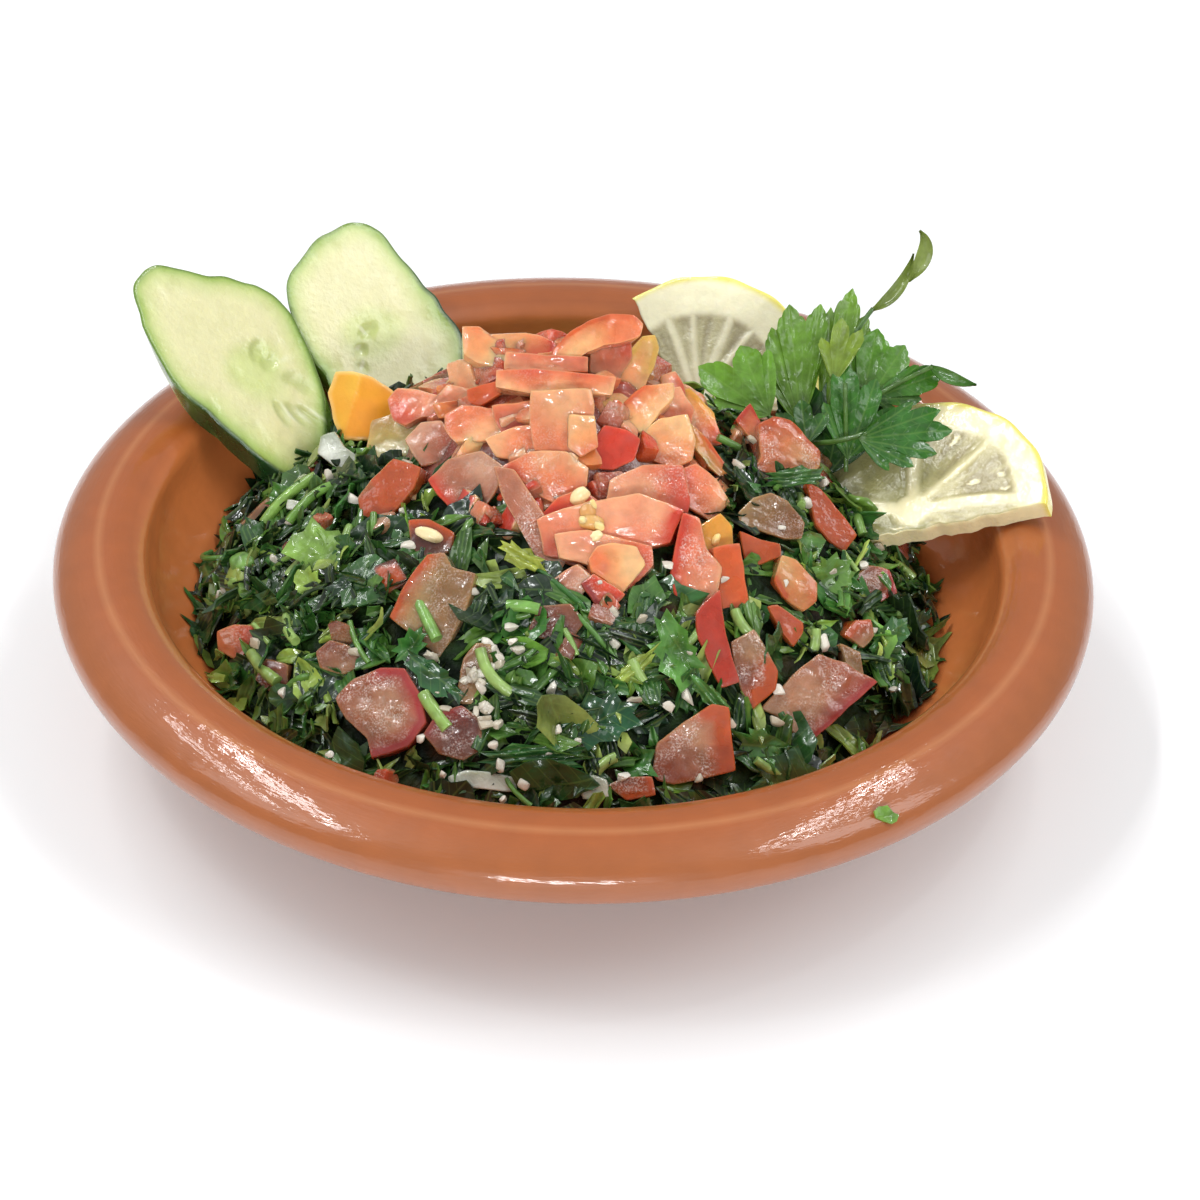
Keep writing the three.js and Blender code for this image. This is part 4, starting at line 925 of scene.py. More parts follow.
def tomato_slab(pile, rng, centre, turned, row, spread=1.0):
    """One of the listed pieces: granular flesh with painted highlights on its cut edges, smooth skin on one
    side.
    """
    _, _, thickness, flesh, granular, skin, corners = row
    corners = np.asarray(corners, float) * spread
    shift = rng.uniform(-500, 500, 3)
    outline = cut_outline(corners, shift)
    points, triangles = slab(outline, thickness, rng.uniform(-0.1, 0.05), rng.uniform(-0.8, 0.8, 2))
    plan, spots = points[:, :2], points + shift
    front = points[:, 2] > -SLAB_EDGE / 2
    inward = line_distance(plan, closed(outline))
    on_skin = np.zeros(len(points))
    near_skin = np.full(len(points), 99.0)
    if skin:
        colour, first, last, width = skin
        near_skin = line_distance(plan, closed(corners)[first : last + 1])
        on_skin = smooth(width + 0.2, width - 0.2, near_skin + 0.25 * noise(spots, 2.0, 6))
    direction = unit(rng.normal(0, 1, 2))
    size = np.ptp(outline, axis=0) / 2
    lean = ((plan - plan.mean(0)) / size) @ direction
    coarse, fine = noise(spots, 3.5, 1), noise(spots, 1.1, 2)
    relief = (0.45 * coarse + 0.2 * fine * (0.3 + granular)) * (1 - 0.8 * on_skin)
    points[:, 2] += relief * front * smooth(0.1, 1.4, inward)
    tint = flesh_tint(rng, flesh, spots, lean)
    if skin:
        tint = mixed(tint, SKINS[colour], 0.55 * smooth(3.0, 0.2, near_skin - width))
        tint = mixed(tint, SKINS[colour] * (1 + 0.07 * coarse[:, None]), on_skin)
    # Painted highlight: a thin pale line along the cut edges
    rim = np.exp(-((inward / 0.2) ** 2)) * (points[:, 2] > -0.4)
    tint = mixed(tint, CUT_EDGE_HIGHLIGHT, 0.35 * rim * (1 - 0.6 * on_skin))
    patch = granular - 0.6 + 0.5 * lean + 0.8 * noise(spots, 6.0, 7)
    sparkle = granular * (1 - on_skin) * smooth(-0.7, 0.1, patch)
    pile.add(points @ turned.T + centre, triangles, tint, np.clip(sparkle, 0.02, 1))


def crown_core(pile, mound):
    """Soft pulp and juice that the crown's pieces lie in."""

    def reach(angle):
        return 1 / np.hypot(np.cos(angle) / mound["half"][0], np.sin(angle) / mound["half"][1])

    def top(x, y):
        place = flat(x, y)
        return mound_height(mound, x, y) - 1.2 + 0.9 * noise(place, 4.5, 5) + 0.4 * noise(place, 1.8, 6)

    centre = (mound["x"], mound["y"])
    points, triangles = mound_body(reach, centre, top, lambda x, y: 0 * x + CROWN_BOTTOM, *CROWN_CORE_GRID)
    tint = mixed(PULP["deep"], PULP["wet"], smooth(-0.4, 0.5, noise(points, 5.0, 7)))
    tint = mixed(tint, PULP["jelly"], 0.4 * smooth(0.2, 0.9, noise(points, 3.0, 8)))
    pile.add(points, triangles, tint * 0.85, 0.5)


def listed_frames(rows, height, spread=1.0):
    """Place and turning of each listed piece, and its box: middle, turning and half size."""
    places, boxes = [], []
    for (x, y, lift), (turn, tilt), thickness, *_, corners in rows:
        place = np.array([x, y, height(x, y) + lift])
        turned = facing(0, turn, tilt)
        corners = np.asarray(corners, float) * spread
        low, high = corners.min(0), corners.max(0)
        middle = place + turned @ np.array([*(low + high) / 2, -thickness / 2])
        places.append((place, turned))
        boxes.append((middle, turned, np.array([*(high - low) / 2, thickness / 2])))
    return places, boxes


CROWN_PLACES, CROWN_BOXES = listed_frames(CROWN_PIECES, crown_height, CROWN_SPREAD)
SALAD_PLACES, SALAD_BOXES = listed_frames(SALAD_TOMATOES, heap_height)
ONION_PLACES, ONION_BOXES = listed_frames(ONIONS, heap_height)


def clear_of(boxes, centres, margin, above):
    """Which centres are outside the listed boxes, with a margin round and above them."""
    free = np.ones(len(centres), bool)
    for centre, turned, half in boxes:
        local = (centres - centre) @ turned
        inside = (np.abs(local[:, :2]) < half[:2] + margin).all(1)
        free &= ~(inside & (local[:, 2] > -half[2] - 1) & (local[:, 2] < half[2] + above))
    return free


def make_crown():
    rng = np.random.default_rng(11)
    pile = Pile(CROWN_TONE)
    crown_core(pile, CROWN)
    crown_core(pile, TONGUE)
    for row, (centre, turned) in zip(CROWN_PIECES, CROWN_PLACES):
        tomato_slab(pile, rng, centre, turned, row, CROWN_SPREAD)
    angle = rng.uniform(0, 2 * np.pi, CROWN_FILLERS)
    share = np.sqrt(rng.uniform(0.02, 0.95, CROWN_FILLERS))
    x = CROWN["x"] + share * CROWN["half"][0] * np.cos(angle)
    y = CROWN["y"] + share * CROWN["half"][1] * np.sin(angle)
    turned = lying(x, y, DISORDER["crown"], rng)
    for i, behind in enumerate(y > CROWN["y"] + BEHIND_CROWN):
        sizes, sunk, steps = (BACK_FILLER_SIZES, 0.8, 8) if behind else (FILLER_SIZES, 1.8, 6)
        size = rng.uniform(*sizes)
        centre = np.array([x[i], y[i], crown_height(x[i], y[i]) - sunk])
        skin = rng.choice(CROWN_SKINS) if rng.random() < 0.25 else None
        tomato_bit(pile, rng, centre, size, turned[i], rng.choice(CROWN_FLESH), skin, steps)
    pile.piece("crown_of_tomato", "tomato", TOMATO, ["tomato_heap"], crease=TOMATO_CREASE)


def make_salad_tomatoes():
    rng = np.random.default_rng(12)
    pile = Pile(SALAD_TONE)
    for row, (centre, turned) in zip(SALAD_TOMATOES, SALAD_PLACES):
        tomato_slab(pile, rng, centre, turned, row)
    angle = np.radians(12 + 130 * (np.arange(BACK_PIECES) + rng.uniform(0, 0.9, BACK_PIECES)) / BACK_PIECES)
    radius = HEAP_RADIUS * rng.choice(BACK_SHARES, BACK_PIECES)
    x, y = radius * np.cos(angle), radius * np.sin(angle)
    turned = lying(x, y, DISORDER["back"], rng)
    for i in range(BACK_PIECES):
        centre = np.array([x[i], y[i], heap_height(x[i], y[i]) + 0.3])
        size = rng.uniform(*BACK_SIZES)
        skin = rng.choice(SALAD_SKINS) if rng.random() < 0.6 else None
        tomato_bit(pile, rng, centre, size, turned[i], rng.choice(SALAD_FLESH), skin, 8)
    angle = rng.uniform(0, 2 * np.pi, SALAD_BITS)
    radius = np.sqrt(rng.uniform(0.25, 0.95, SALAD_BITS)) * heap_radius(angle)
    x, y = radius * np.cos(angle), radius * np.sin(angle)
    turned = lying(x, y, DISORDER["bits"], rng)
    centres = flat(x, y, heap_height(x, y) - 0.2)
    free = clear_of(SALAD_BOXES + ONION_BOXES, centres, 0.0, 4) & ~under_crown(x, y)
    for i in np.flatnonzero(free):
        skin = rng.choice(SALAD_SKINS[:2]) if rng.random() < 0.3 else None
        size = rng.uniform(*BIT_SIZES, 3)
        tomato_bit(pile, rng, centres[i], size, turned[i], rng.choice(SALAD_FLESH), skin)
    pile.piece("salad_tomato", "tomato", TOMATO, crease=TOMATO_CREASE)


def make_seeds_and_onions():
    rng = np.random.default_rng(17)
    seeds, onions = Pile(), Pile()
    for (x, y, lift), size, tint in SEEDS:
        points, triangles = pebble(size, rng.uniform(-50, 50, 3))
        turned = facing(rng.uniform(-80, 80), 0, rng.uniform(25, 60))
        seeds.add(points @ turned.T + (x, y, crown_height(x, y) + lift - SEED_SINK), triangles, tint, 0.1)
    seeds.piece("tomato_seeds", "tomato", CRUMB)
    for row, (centre, turned) in zip(ONIONS, ONION_PLACES):
        shift = rng.uniform(-500, 500, 3)
        outline = cut_outline(row[-1], shift)
        points, triangles = slab(outline, row[2], -0.05, (0, 0))
        lean = points[:, 1] / 3
        points[:, 2] += 0.35 * noise(points + shift, 3.0, 1) - 0.02 * points[:, 0] ** 2
        onions.add(points @ turned.T + centre, triangles, flesh_tint(rng, "onion", points + shift, lean), 0.2)
    onions.piece("onion_bits", "salad", ONION)


# Chopped parsley: dark wet cuts, lighter leaves, stems and bulgur over a dark core of painted shade, with
# juice round it
GREENS = {
    "dark": [linear(24, 58, 28), linear(16, 46, 28), linear(36, 72, 34), linear(26, 50, 22)],
    "mid": [linear(52, 110, 44), linear(72, 126, 50), linear(42, 94, 40)],
    "light": [linear(112, 162, 62), linear(140, 180, 80), linear(92, 146, 56), linear(152, 184, 96)],
}
# Larger leaves: place and height above the heap, length and width, then spin, turn and tilt, and the green
SALAD_LEAVES = [
    ((-49, -19, 3.4), (19, 13), (-12, -20, 45), (124, 174, 76)),
    ((-52, -25, 3.6), (9, 8), (60, -20, 42), (146, 190, 84)),
    ((-41, -30, 2.6), (15, 9), (20, -15, 45), (22, 54, 30)),
    ((21, -45, 3.8), (20, 12), (-62, 5, 35), (84, 148, 62)),
    ((27, -50, 3.6), (13, 5), (-48, 5, 35), (70, 132, 56)),
    ((37, -54, 3.4), (13, 9), (-30, 10, 35), (66, 128, 52)),
    ((42, 1, 4.4), (19, 5), (-8, 20, 50), (52, 106, 46)),
    ((13, -49, 3.6), (15, 4.5), (42, 0, 40), (152, 184, 84)),
    ((-10, -31, 4.0), (12, 5), (-28, 0, 50), (166, 190, 76)),
    ((-50, 19, 2.4), (11, 8), (-20, -30, 50), (70, 124, 50)),
    ((-24, -52, 3.4), (17, 8), (-34, -5, 42), (34, 92, 44)),
    ((-60, 8, 2.8), (14, 9), (30, -30, 42), (66, 120, 50)),
    ((-30, -45, 2.6), (9, 6), (55, -10, 42), (58, 122, 52)),
    ((5, -58, 2.8), (20, 11), (15, 0, 38), (22, 82, 46)),
    ((-6, -64, 3.0), (26, 6), (4, 0, 38), (44, 104, 48)),
    ((62, -22, 3.0), (14, 9), (20, 30, 38), (46, 104, 46)),
    ((70, -11, 3.4), (10, 4.5), (24, 40, 40), (28, 70, 34)),
    ((51, -16, 3.6), (11, 9), (-20, 25, 40), (92, 144, 60)),
]
LEAF_TONE = (1.02, 0.86, 0.79)
GRAIN_TONE = (0.84, 0.82, 0.78)
# Chopped leaves: how many, length, width as a share of it, rings and sides of the mesh, height above the
# heap, and the chance of a dark green and of a dark or middling one
LEAF_KINDS = {
    "parsley_leaves": (360, (9, 19), (0.35, 0.75), (5, 24), (-0.8, 2.6), (0.36, 0.8)),
    "parsley_cuts": (1010, (7, 19), (0.13, 0.36), (3, 16), (-0.8, 2.6), (0.4, 0.8)),
    "parsley_bits": (900, (3, 8), (0.25, 0.65), (2, 10), (0.2, 2.8), (0.4, 0.76)),
}
SALAD_LEAF_GRID = (8, 36)
SALAD_LEAF_SINK = 0.5
LEAF_THICKNESS = 0.4
LEAF_ABOVE_DISH = 0.7
LEAF_SPARE = 2.1
BLADE_GAP = 1.5
# Each leaf takes its crumples from its own part of the noise
LEAF_APART = 37.0
# Steps that fill a square evenly
EVEN_STEPS = (0.7548776662, 0.5698402910)
# Between which shares of the heap's radius each kind lies
BANDS = {"leaves": (0.2, 1.02), "stems": (0.35, 0.98), "grains": (0.45, 1.0)}
# The core's near-black colours: painted shade for the gaps between the leaves
CORE_SHADE_COLOURS = {"dark": linear(8, 20, 8), "green": linear(32, 54, 20), "brown": linear(74, 34, 22)}
HEAP_CORE_GRID = (60, 180)
# Brown juice, and a darker brown near the heap that is painted shade at its foot
JUICE_AND_SHADE_COLOURS = (linear(120, 44, 18), linear(62, 22, 12))
JUICE_GRID = (30, 160)
JUICE_POOLS = (-140, -30)
STEM_COUNT = 70
STEM_LENGTHS = (3, 11)
STEM_RADII = (0.5, 1.15)
STEM_GREENS = (linear(88, 138, 50), linear(164, 196, 108))
STEM_STEPS = 8
TUBE_SIDES = 8
# Longer stems: start, bend and end over the heap, radius and green
LONG_STEM_STEPS = 14
LONG_STEMS = [
    ((-8, -31, 1.6), (2, -39, 2.6), (15, -47, 1.8), 0.6, (58, 112, 44)),
    ((-2, -38, 1.4), (4, -43, 2.8), (14, -52, 1.4), 0.55, (92, 140, 60)),
    ((-34, -36, 1.4), (-40, -44, 1.0), (-52, -40, 1.2), 0.6, (30, 72, 34)),
    ((-76, 9, 1.0), (-80, 3, 2.8), (-72, 2, 1.8), 0.6, (84, 136, 56)),
    ((-62, -33, 1.4), (-60, -38, 2.4), (-56, -42, 1.4), 1.3, (148, 178, 92)),
    ((-27, -54, 3.0), (-25, -57, 3.4), (-22, -60, 3.2), 1.3, (150, 186, 96)),
    ((-30, -35, 2.4), (-28, -40, 3.2), (-25, -45, 2.6), 1.2, (130, 176, 84)),
    ((-12, -40, 2.4), (-9, -40.5, 3.2), (-6, -41, 2.8), 1.2, (126, 178, 80)),
    ((-64, 4, 2.4), (-60, 9, 4.4), (-54, 12, 2.4), 1.2, (138, 178, 80)),
    ((-58, -2, 2.4), (-54, 2, 4.4), (-50, 4, 2.4), 1.0, (118, 164, 68)),
]
STEM_END = {"at": (-67, -8, 3.0), "size": (5.4, 5.4, 4.6), "facing": {"turn": -40, "tilt": 40}}
STEM_END_GREEN = (122, 164, 82)
# Bulgur: clusters with their place, width and number, single grains, and how many more are spread
GRAIN_CLUSTERS = [(-14, -48, 4, 7), (-18, -52, 4, 6), (-15, -59, 7, 8), (-22, -57, 6, 5), (-10, -64, 6, 4)]
GRAIN_SINGLES = [
    (8, -40), (8.5, -45), (22, -50), (19, -53), (2, -61), (-3, -54), (-71, -13), (40, -44), (31, -53),
]
GRAIN_COUNT = 80
GRAIN_SIZES = ((1.6, 1.2, 0.9), (2.8, 1.9, 1.5))
GRAIN_LIFTS = (1.4, 3.0)
GRAIN_COLOURS = (linear(190, 180, 158), linear(242, 238, 228))
# The loose flake on the rim: place, length and width, then spin, turn and tilt, and the green
RIM_FLAKE = ((57.5, -85.5, 35.2), (5.5, 3.0), (-35, 34, 55), (112, 168, 64))
RIM_FLAKE_GRID = (4, 16)


def disc(rings, sectors):
    """Ring shares of a round grid's points, and the triangles of the thin closed body that it makes."""
    share = np.concatenate([[0], np.repeat(np.arange(1, rings + 1) / rings, sectors)])
    side = np.arange(sectors)
    after = (side + 1) % sectors
    front = [np.stack([0 * side, 1 + side, 1 + after], 1)]
    for ring in range(rings - 1):
        a, b = 1 + ring * sectors, 1 + (ring + 1) * sectors
        front += band(a + side, b + side, a + after, b + after)
    front = np.concatenate(front)
    count = len(share)
    edge, edge_after = (1 + (rings - 1) * sectors + place for place in (side, after))
    wall = band(edge, count + edge, edge_after, count + edge_after)
    return share, np.concatenate([front, front[:, ::-1] + count, *wall])


def leaf_outlines(rng, count, sectors, leafy):
    """Outlines of chopped leaves within a unit circle: straight cuts, or the teeth of a leaf."""
    corners = sectors // 2
    step = 2 * np.pi / corners
    uneven = np.arange(corners) + rng.uniform(-0.3, 0.3, (count, corners))
    angle = step * uneven + rng.uniform(0, 7, (count, 1))
    cut = rng.uniform(0.8, 1.05, (count, corners))
    low = 1 - 0.38 * (rng.random((count, 1)) < leafy) * rng.uniform(0.5, 1, (count, corners))
    radius = cut * np.where(np.arange(corners) % 2, low, 1)
    gone = rng.integers(0, corners, (count, 1))
    distance = (np.arange(corners) - gone) % corners
    radius = np.where((distance < corners // 3) & (rng.random((count, 1)) < 0.6), radius * 0.65, radius)
    loop = np.stack([radius * np.cos(angle), radius * np.sin(angle)], -1)
    between = (loop + np.roll(loop, -1, axis=1)) / 2
    return np.stack([loop, between], 2).reshape(count, 2 * corners, 2)


def leaf_sheets(rng, length, width, grid, leafy):
    """Thin folded leaf pieces as points, one row for each, with their height and their place in the leaf."""
    rings, sectors = grid
    share, triangles = disc(rings, sectors)
    count = len(length)
    outline = np.tile(leaf_outlines(rng, count, sectors, leafy), (1, rings, 1))
    outline = np.concatenate([np.zeros((count, 1, 2)), outline], 1) * share[None, :, None]
    x, y = outline[..., 0] * length[:, None] / 2, outline[..., 1] * width[:, None] / 2
    strip = (width < 0.45 * length)[:, None] * 1.0
    across = rng.uniform(-0.5, 0.5, (count, 1)) * (1 - 0.8 * strip)
    off = x * np.sin(across) + y * np.cos(across) + rng.uniform(-0.8, 0.8, (count, 1))
    fold = rng.uniform(-0.2, 0.8, (count, 1)) * np.abs(off)
    curl = rng.uniform(-0.06, 0.05, (count, 1)) * x**2 / (1 + 0.06 * x**2)
    own = flat(x, y, LEAF_APART * np.arange(count)[:, None])
    crumple = 0.9 * noise(own, 3.4, 21) + 0.4 * noise(own, 1.5, 22)
    ripple = 0.3 * strip * np.cos(2 * np.pi * off / BLADE_GAP)
    z = fold + curl + crumple + ripple
    rise = z - z.mean(1, keepdims=True)
    front = np.stack([x, y, rise], -1)
    back = front - np.array([0, 0, LEAF_THICKNESS])
    spot = np.stack([x, off, strip + 0 * x], -1)
    return np.concatenate([front, back], 1), triangles, np.tile(rise, (1, 2)), np.tile(spot, (1, 2, 1))


def spread(rng, count, low, high):
    """Even places on the heap between two shares of its radius."""
    number = np.arange(count)
    share = np.sqrt(low**2 + (high**2 - low**2) * ((number * EVEN_STEPS[0]) % 1.0))
    angle = 2 * np.pi * ((number * EVEN_STEPS[1]) % 1.0) + rng.uniform(0, 0.06, count)
    x = share * heap_radius(angle) * np.cos(angle) + rng.uniform(-1.5, 1.5, count)
    y = share * heap_radius(angle) * np.sin(angle) + rng.uniform(-1.5, 1.5, count)
    return x, y


def add_leaves(pile, rng, centres, turned, length, width, grid, tint, leafy=0.5):
    """Leaf pieces at their centres, kept above the dish, with painted light where they rise and painted shade
    where they dip.
    """
    points, triangles, rise, spot = leaf_sheets(rng, length, width, grid, leafy)
    points = np.einsum("nij,nvj->nvi", turned, points) + centres[:, None]
    floor = dish_inside(np.hypot(points[..., 0], points[..., 1])) + LEAF_ABOVE_DISH
    points[..., 2] = np.maximum(points[..., 2], floor)
    # Painted light and shade: each leaf lighter where it rises and darker in its hollows
    level = 1 + 0.28 * np.clip(rise, -1.4, 1.4)
    pile.add(points, triangles, tint[:, None] * level[..., None], rng.uniform(0, 1, len(length)), spot)


def add_leaf(pile, rng, centre, size, lying_as, green, grid, leafy):
    """One leaf piece of a given size and green."""
    length, width = (np.array([float(side)]) for side in size)
    tint = linear(*green)[None]
    add_leaves(pile, rng, np.array([centre]), facing(*lying_as)[None], length, width, grid, tint, leafy)


def shade(rng, dark, mid):
    """A green, dark with the first chance, mid up to the second, or else light."""
    draw = rng.random()
    shades = GREENS["dark" if draw < dark else "mid" if draw < mid else "light"]
    return shades[rng.integers(len(shades))] * rng.uniform(0.75, 1.25)


def make_leaves():
    rng = np.random.default_rng(13)
    for name, (wanted, lengths, shares, grid, lifts, chances) in LEAF_KINDS.items():
        pile = Pile(LEAF_TONE)
        x, y = spread(rng, int(wanted * LEAF_SPARE), *BANDS["leaves"])
        patches = noise(flat(x, y), 14.0, 23)
        lift = rng.uniform(*lifts, len(x)) + 1.2 * noise(flat(x, y), 7.0, 24)
        centres = flat(x, y, heap_height(x, y) + lift)
        boxes = CROWN_BOXES + SALAD_BOXES + ONION_BOXES
        centres[:, 2] -= 1.5 * ~clear_of(boxes, centres, 4.0, 6)
        free = clear_of(boxes, centres, -0.6, 6) & ~under_crown(x, y, 0.9)
        chosen = np.flatnonzero(free)[:wanted]
        x, y, centres, patches = x[chosen], y[chosen], centres[chosen], patches[chosen]
        count = len(chosen)
        length = rng.uniform(*lengths, count)
        width = length * rng.uniform(*shares, count)
        tint = np.array([shade(rng, *chances) for _ in range(count)]) * (1 + 0.35 * patches)[:, None]
        turned = lying(x, y, DISORDER["leaves"], rng)
        add_leaves(pile, rng, centres, turned, length, width, grid, tint)
        if name == "parsley_leaves":
            for (x, y, lift), *row in SALAD_LEAVES:
                centre = (x, y, heap_height(x, y) + lift - SALAD_LEAF_SINK)
                add_leaf(pile, rng, centre, *row, SALAD_LEAF_GRID, 1.0)
        if name == "parsley_bits":
            add_leaf(pile, rng, *RIM_FLAKE, RIM_FLAKE_GRID, 0.0)
        pile.piece(name, "salad", LEAF, ["salad_heap"] if name == "parsley_leaves" else ())


def make_heap_core():
    def top(x, y):
        share = np.hypot(x, y) / heap_radius(np.arctan2(y, x))
        rough = 1.2 * noise(flat(x, y), 5.0, 31) + 1.0 * noise(flat(x, y), 2.2, 32)
        return heap_height(x, y) - 1.4 + rough * np.minimum(1, 5 * (1 - share))

    def bottom(x, y):
        return dish_inside(np.hypot(x, y)) + 0.4

    points, triangles = mound_body(heap_radius, (0, 0), top, bottom, *HEAP_CORE_GRID)
    # Painted shade: the core is near-black where it shows between the leaves
    tint = mixed(CORE_SHADE_COLOURS["dark"], CORE_SHADE_COLOURS["green"], smooth(-0.6, 0.8, noise(points, 3.0, 33)))
    tint = mixed(tint, CORE_SHADE_COLOURS["brown"], 0.7 * smooth(0.1, 0.7, noise(points, 6.0, 34)))
    pile = Pile()
    pile.add(points, triangles, tint, 0.5)
    pile.piece("salad_core", "salad", CORE)


def make_juice():
    """A thin film of brown juice on the dish, round the edge of the heap, darker near the heap as painted
    shade.
    """

    def reach(angle):
        round_place = flat(3 * np.cos(angle), 3 * np.sin(angle))
        left, right = (np.maximum(0, np.cos(angle - np.radians(pool))) ** 4 for pool in JUICE_POOLS)
        return heap_radius(angle) + 0.8 + 1.6 * noise(round_place, 1.0, 35) + 3.5 * (left + right)

    def height(above):
        return lambda x, y: dish_inside(np.hypot(x, y)) + above

    points, triangles = mound_body(reach, (0, 0), height(0.35), height(0.06), *JUICE_GRID)
    left = reach(np.arctan2(points[:, 1], points[:, 0])) - np.hypot(points[:, 0], points[:, 1])
    # Painted shade: the juice darkens towards the heap's foot
    tint = mixed(*JUICE_AND_SHADE_COLOURS, smooth(1, 5, left))
    pile = Pile()
    pile.add(points, triangles, tint, 0.75 * smooth(0.0, 4.0, left))
    pile.piece("juice_and_shade_film", "salad", JUICE)


def tube(path, radius):
    """Closed round bar along a path of points, with blunt ends."""
    along = unit(np.gradient(path, axis=0))
    helper = np.array([0.3, 0.2, 1.0])
    across = unit(np.cross(along, helper))
    other = np.cross(across, along)
    angle = 2 * np.pi * np.arange(TUBE_SIDES) / TUBE_SIDES
    ring = np.cos(angle)[None, :, None] * across[:, None] + np.sin(angle)[None, :, None] * other[:, None]
    return stacked(path[:, None] + ring * radius)


def curve(start, over, end, steps):
    t = np.linspace(0, 1, steps + 1)[:, None]
    return (1 - t) ** 2 * np.asarray(start) + 2 * t * (1 - t) * np.asarray(over) + t**2 * np.asarray(end)


def on_heap(place):
    x, y, lift = place
    return np.array([x, y, heap_height(x, y) + lift])


def make_stems():
    rng = np.random.default_rng(14)
    pile = Pile()
    x, y = spread(rng, STEM_COUNT * 2, *BANDS["stems"])
    centres = flat(x, y, heap_height(x, y) + rng.uniform(0.6, 2.2, len(x)))
    free = clear_of(CROWN_BOXES + SALAD_BOXES, centres, 0.5, 4) & ~under_crown(x, y)
    turned = lying(x, y, DISORDER["stems"], rng)
    for i in np.flatnonzero(free)[:STEM_COUNT]:
        length, bend = rng.uniform(*STEM_LENGTHS), rng.uniform(-0.25, 0.25)
        top = (0, bend * length, abs(bend) * length / 2)
        path = curve((-length / 2, 0, 0), top, (length / 2, 0, 0), STEM_STEPS)
        points, triangles = tube(path, rng.uniform(*STEM_RADII))
        tint = mixed(*STEM_GREENS, rng.random())
        pile.add(points @ turned[i].T + centres[i], triangles, tint, 0.3)
    for start, over, end, radius, green in LONG_STEMS:
        path = curve(on_heap(start), on_heap(over), on_heap(end), LONG_STEM_STEPS)
        points, triangles = tube(path, radius)
        pile.add(points, triangles, linear(*green), 0.3)
    points, triangles = pebble(STEM_END["size"], np.zeros(3))
    level = 1 - 0.35 * smooth(0.2, 0.0, np.abs(points[:, 0]) / (STEM_END["size"][0] / 2))
    place = placed(points, on_heap(STEM_END["at"]), **STEM_END["facing"])
    pile.add(place, triangles, linear(*STEM_END_GREEN) * level[:, None])
    pile.piece("parsley_stems", "salad", LEAF)


def make_grains():
    rng = np.random.default_rng(18)
    pile = Pile(GRAIN_TONE)
    places = [rng.normal((cx, cy), size / 2.4, (number, 2)) for cx, cy, size, number in GRAIN_CLUSTERS]
    x, y = spread(rng, GRAIN_COUNT, *BANDS["grains"])
    places = np.concatenate([*places, np.array(GRAIN_SINGLES, float), np.stack([x, y], 1)])
    x, y = places.T
    inside = np.hypot(x, y) < heap_radius(np.arctan2(y, x)) + 1.0
    places = places[inside & ~under_crown(x, y)]
    height = heap_height(*places.T) + rng.uniform(*GRAIN_LIFTS, len(places))
    for place in raised(places, height):
        size = rng.uniform(*GRAIN_SIZES)
        points, triangles, _, _ = chunk(rng, size, 3, cuts=4, sharpness=12, uneven=0.4)
        turned = facing(*rng.uniform(0, 360, 3))
        tint = mixed(*GRAIN_COLOURS, rng.random())
        pile.add(points @ turned.T + place, triangles, tint, 0.4)
    pile.piece("bulgur", "salad", CRUMB)


# Cucumber slices, cut at a slant. A pocket has a place and half sizes, and a pale seed mark, partly painted
# glint, has a place and a length.
SLICE_FACE = 0.985
OUTLINE_STEPS = 14
CUCUMBER_RINGS = 30
CUCUMBER_THICKNESS = 5.5
CUCUMBER_SLANT = (2.5, 5.5)
SEED_AND_GLINT_HALF_WIDTH = 0.5
CUCUMBER_TONE = (0.93, 0.93, 0.88)
CUCUMBER_COLOURS = {
    "flesh": linear(230, 226, 178),
    "middle": linear(212, 220, 152),
    "ring": linear(206, 216, 146),
    "band": linear(158, 188, 90),
    "peel": linear(96, 128, 44),
    "dark peel": linear(34, 70, 32),
    "pocket": linear(178, 192, 112),
    "seed_and_glint": linear(246, 248, 222),
}
CUCUMBERS = {
    "cucumber_left": {
        "at": (-73, 42, 45.6),
        "facing": {"turn": 50, "tilt": 45},
        "outline": [
            (18, 8), (13, 15), (5, 20), (-7, 27), (-14, 24), (-17, 4), (-13.5, -8), (-9, -20), (-3, -27.5),
            (7, -25), (14.5, -15),
        ],
        "pockets": [
            ((5.5, 0.5), (1.8, 2.6)), ((6.4, -3), (1.8, 2.2)), ((9.3, -7.9), (1.6, 2.4)),
            ((11.4, -11), (1.5, 2.4)), ((2.5, -13.3), (1.2, 3.2)), ((5.6, -15.2), (1.0, 3.2)),
            ((8.3, -16.7), (1.0, 2.8)),
        ],
        "seeds_and_glints": [((4.1, -14.2), 3.0), ((7.0, -16), 3.0), ((10, -17), 2.6), ((11, -4), 3.4)],
        "middle": (2, -4),
        "dark side": (-0.62, -0.78),
    },
    "cucumber_right": {
        "at": (-46, 65.2, 41.8),
        "facing": {"turn": 29, "tilt": 40},
        "outline": [
            (19, -8), (14.5, 6), (10, 15), (4, 24), (-7.5, 22.5), (-17.5, 14), (-18.5, 7), (-16, -6),
            (-11, -19), (0, -26), (12, -22),
        ],
        "pockets": [((-2.6, -0.5), (2.6, 1.5)), ((-5.2, -4.2), (1.9, 1.9)), ((-5.8, -7.8), (2.2, 1.6))],
        "seeds_and_glints": [((-3.4, 0.2), 1.2), ((-5.6, -3.4), 1.0), ((-5.6, -7.2), 1.4)],
        "middle": (-2, -2),
        "dark side": (0.93, -0.37),
    },
}


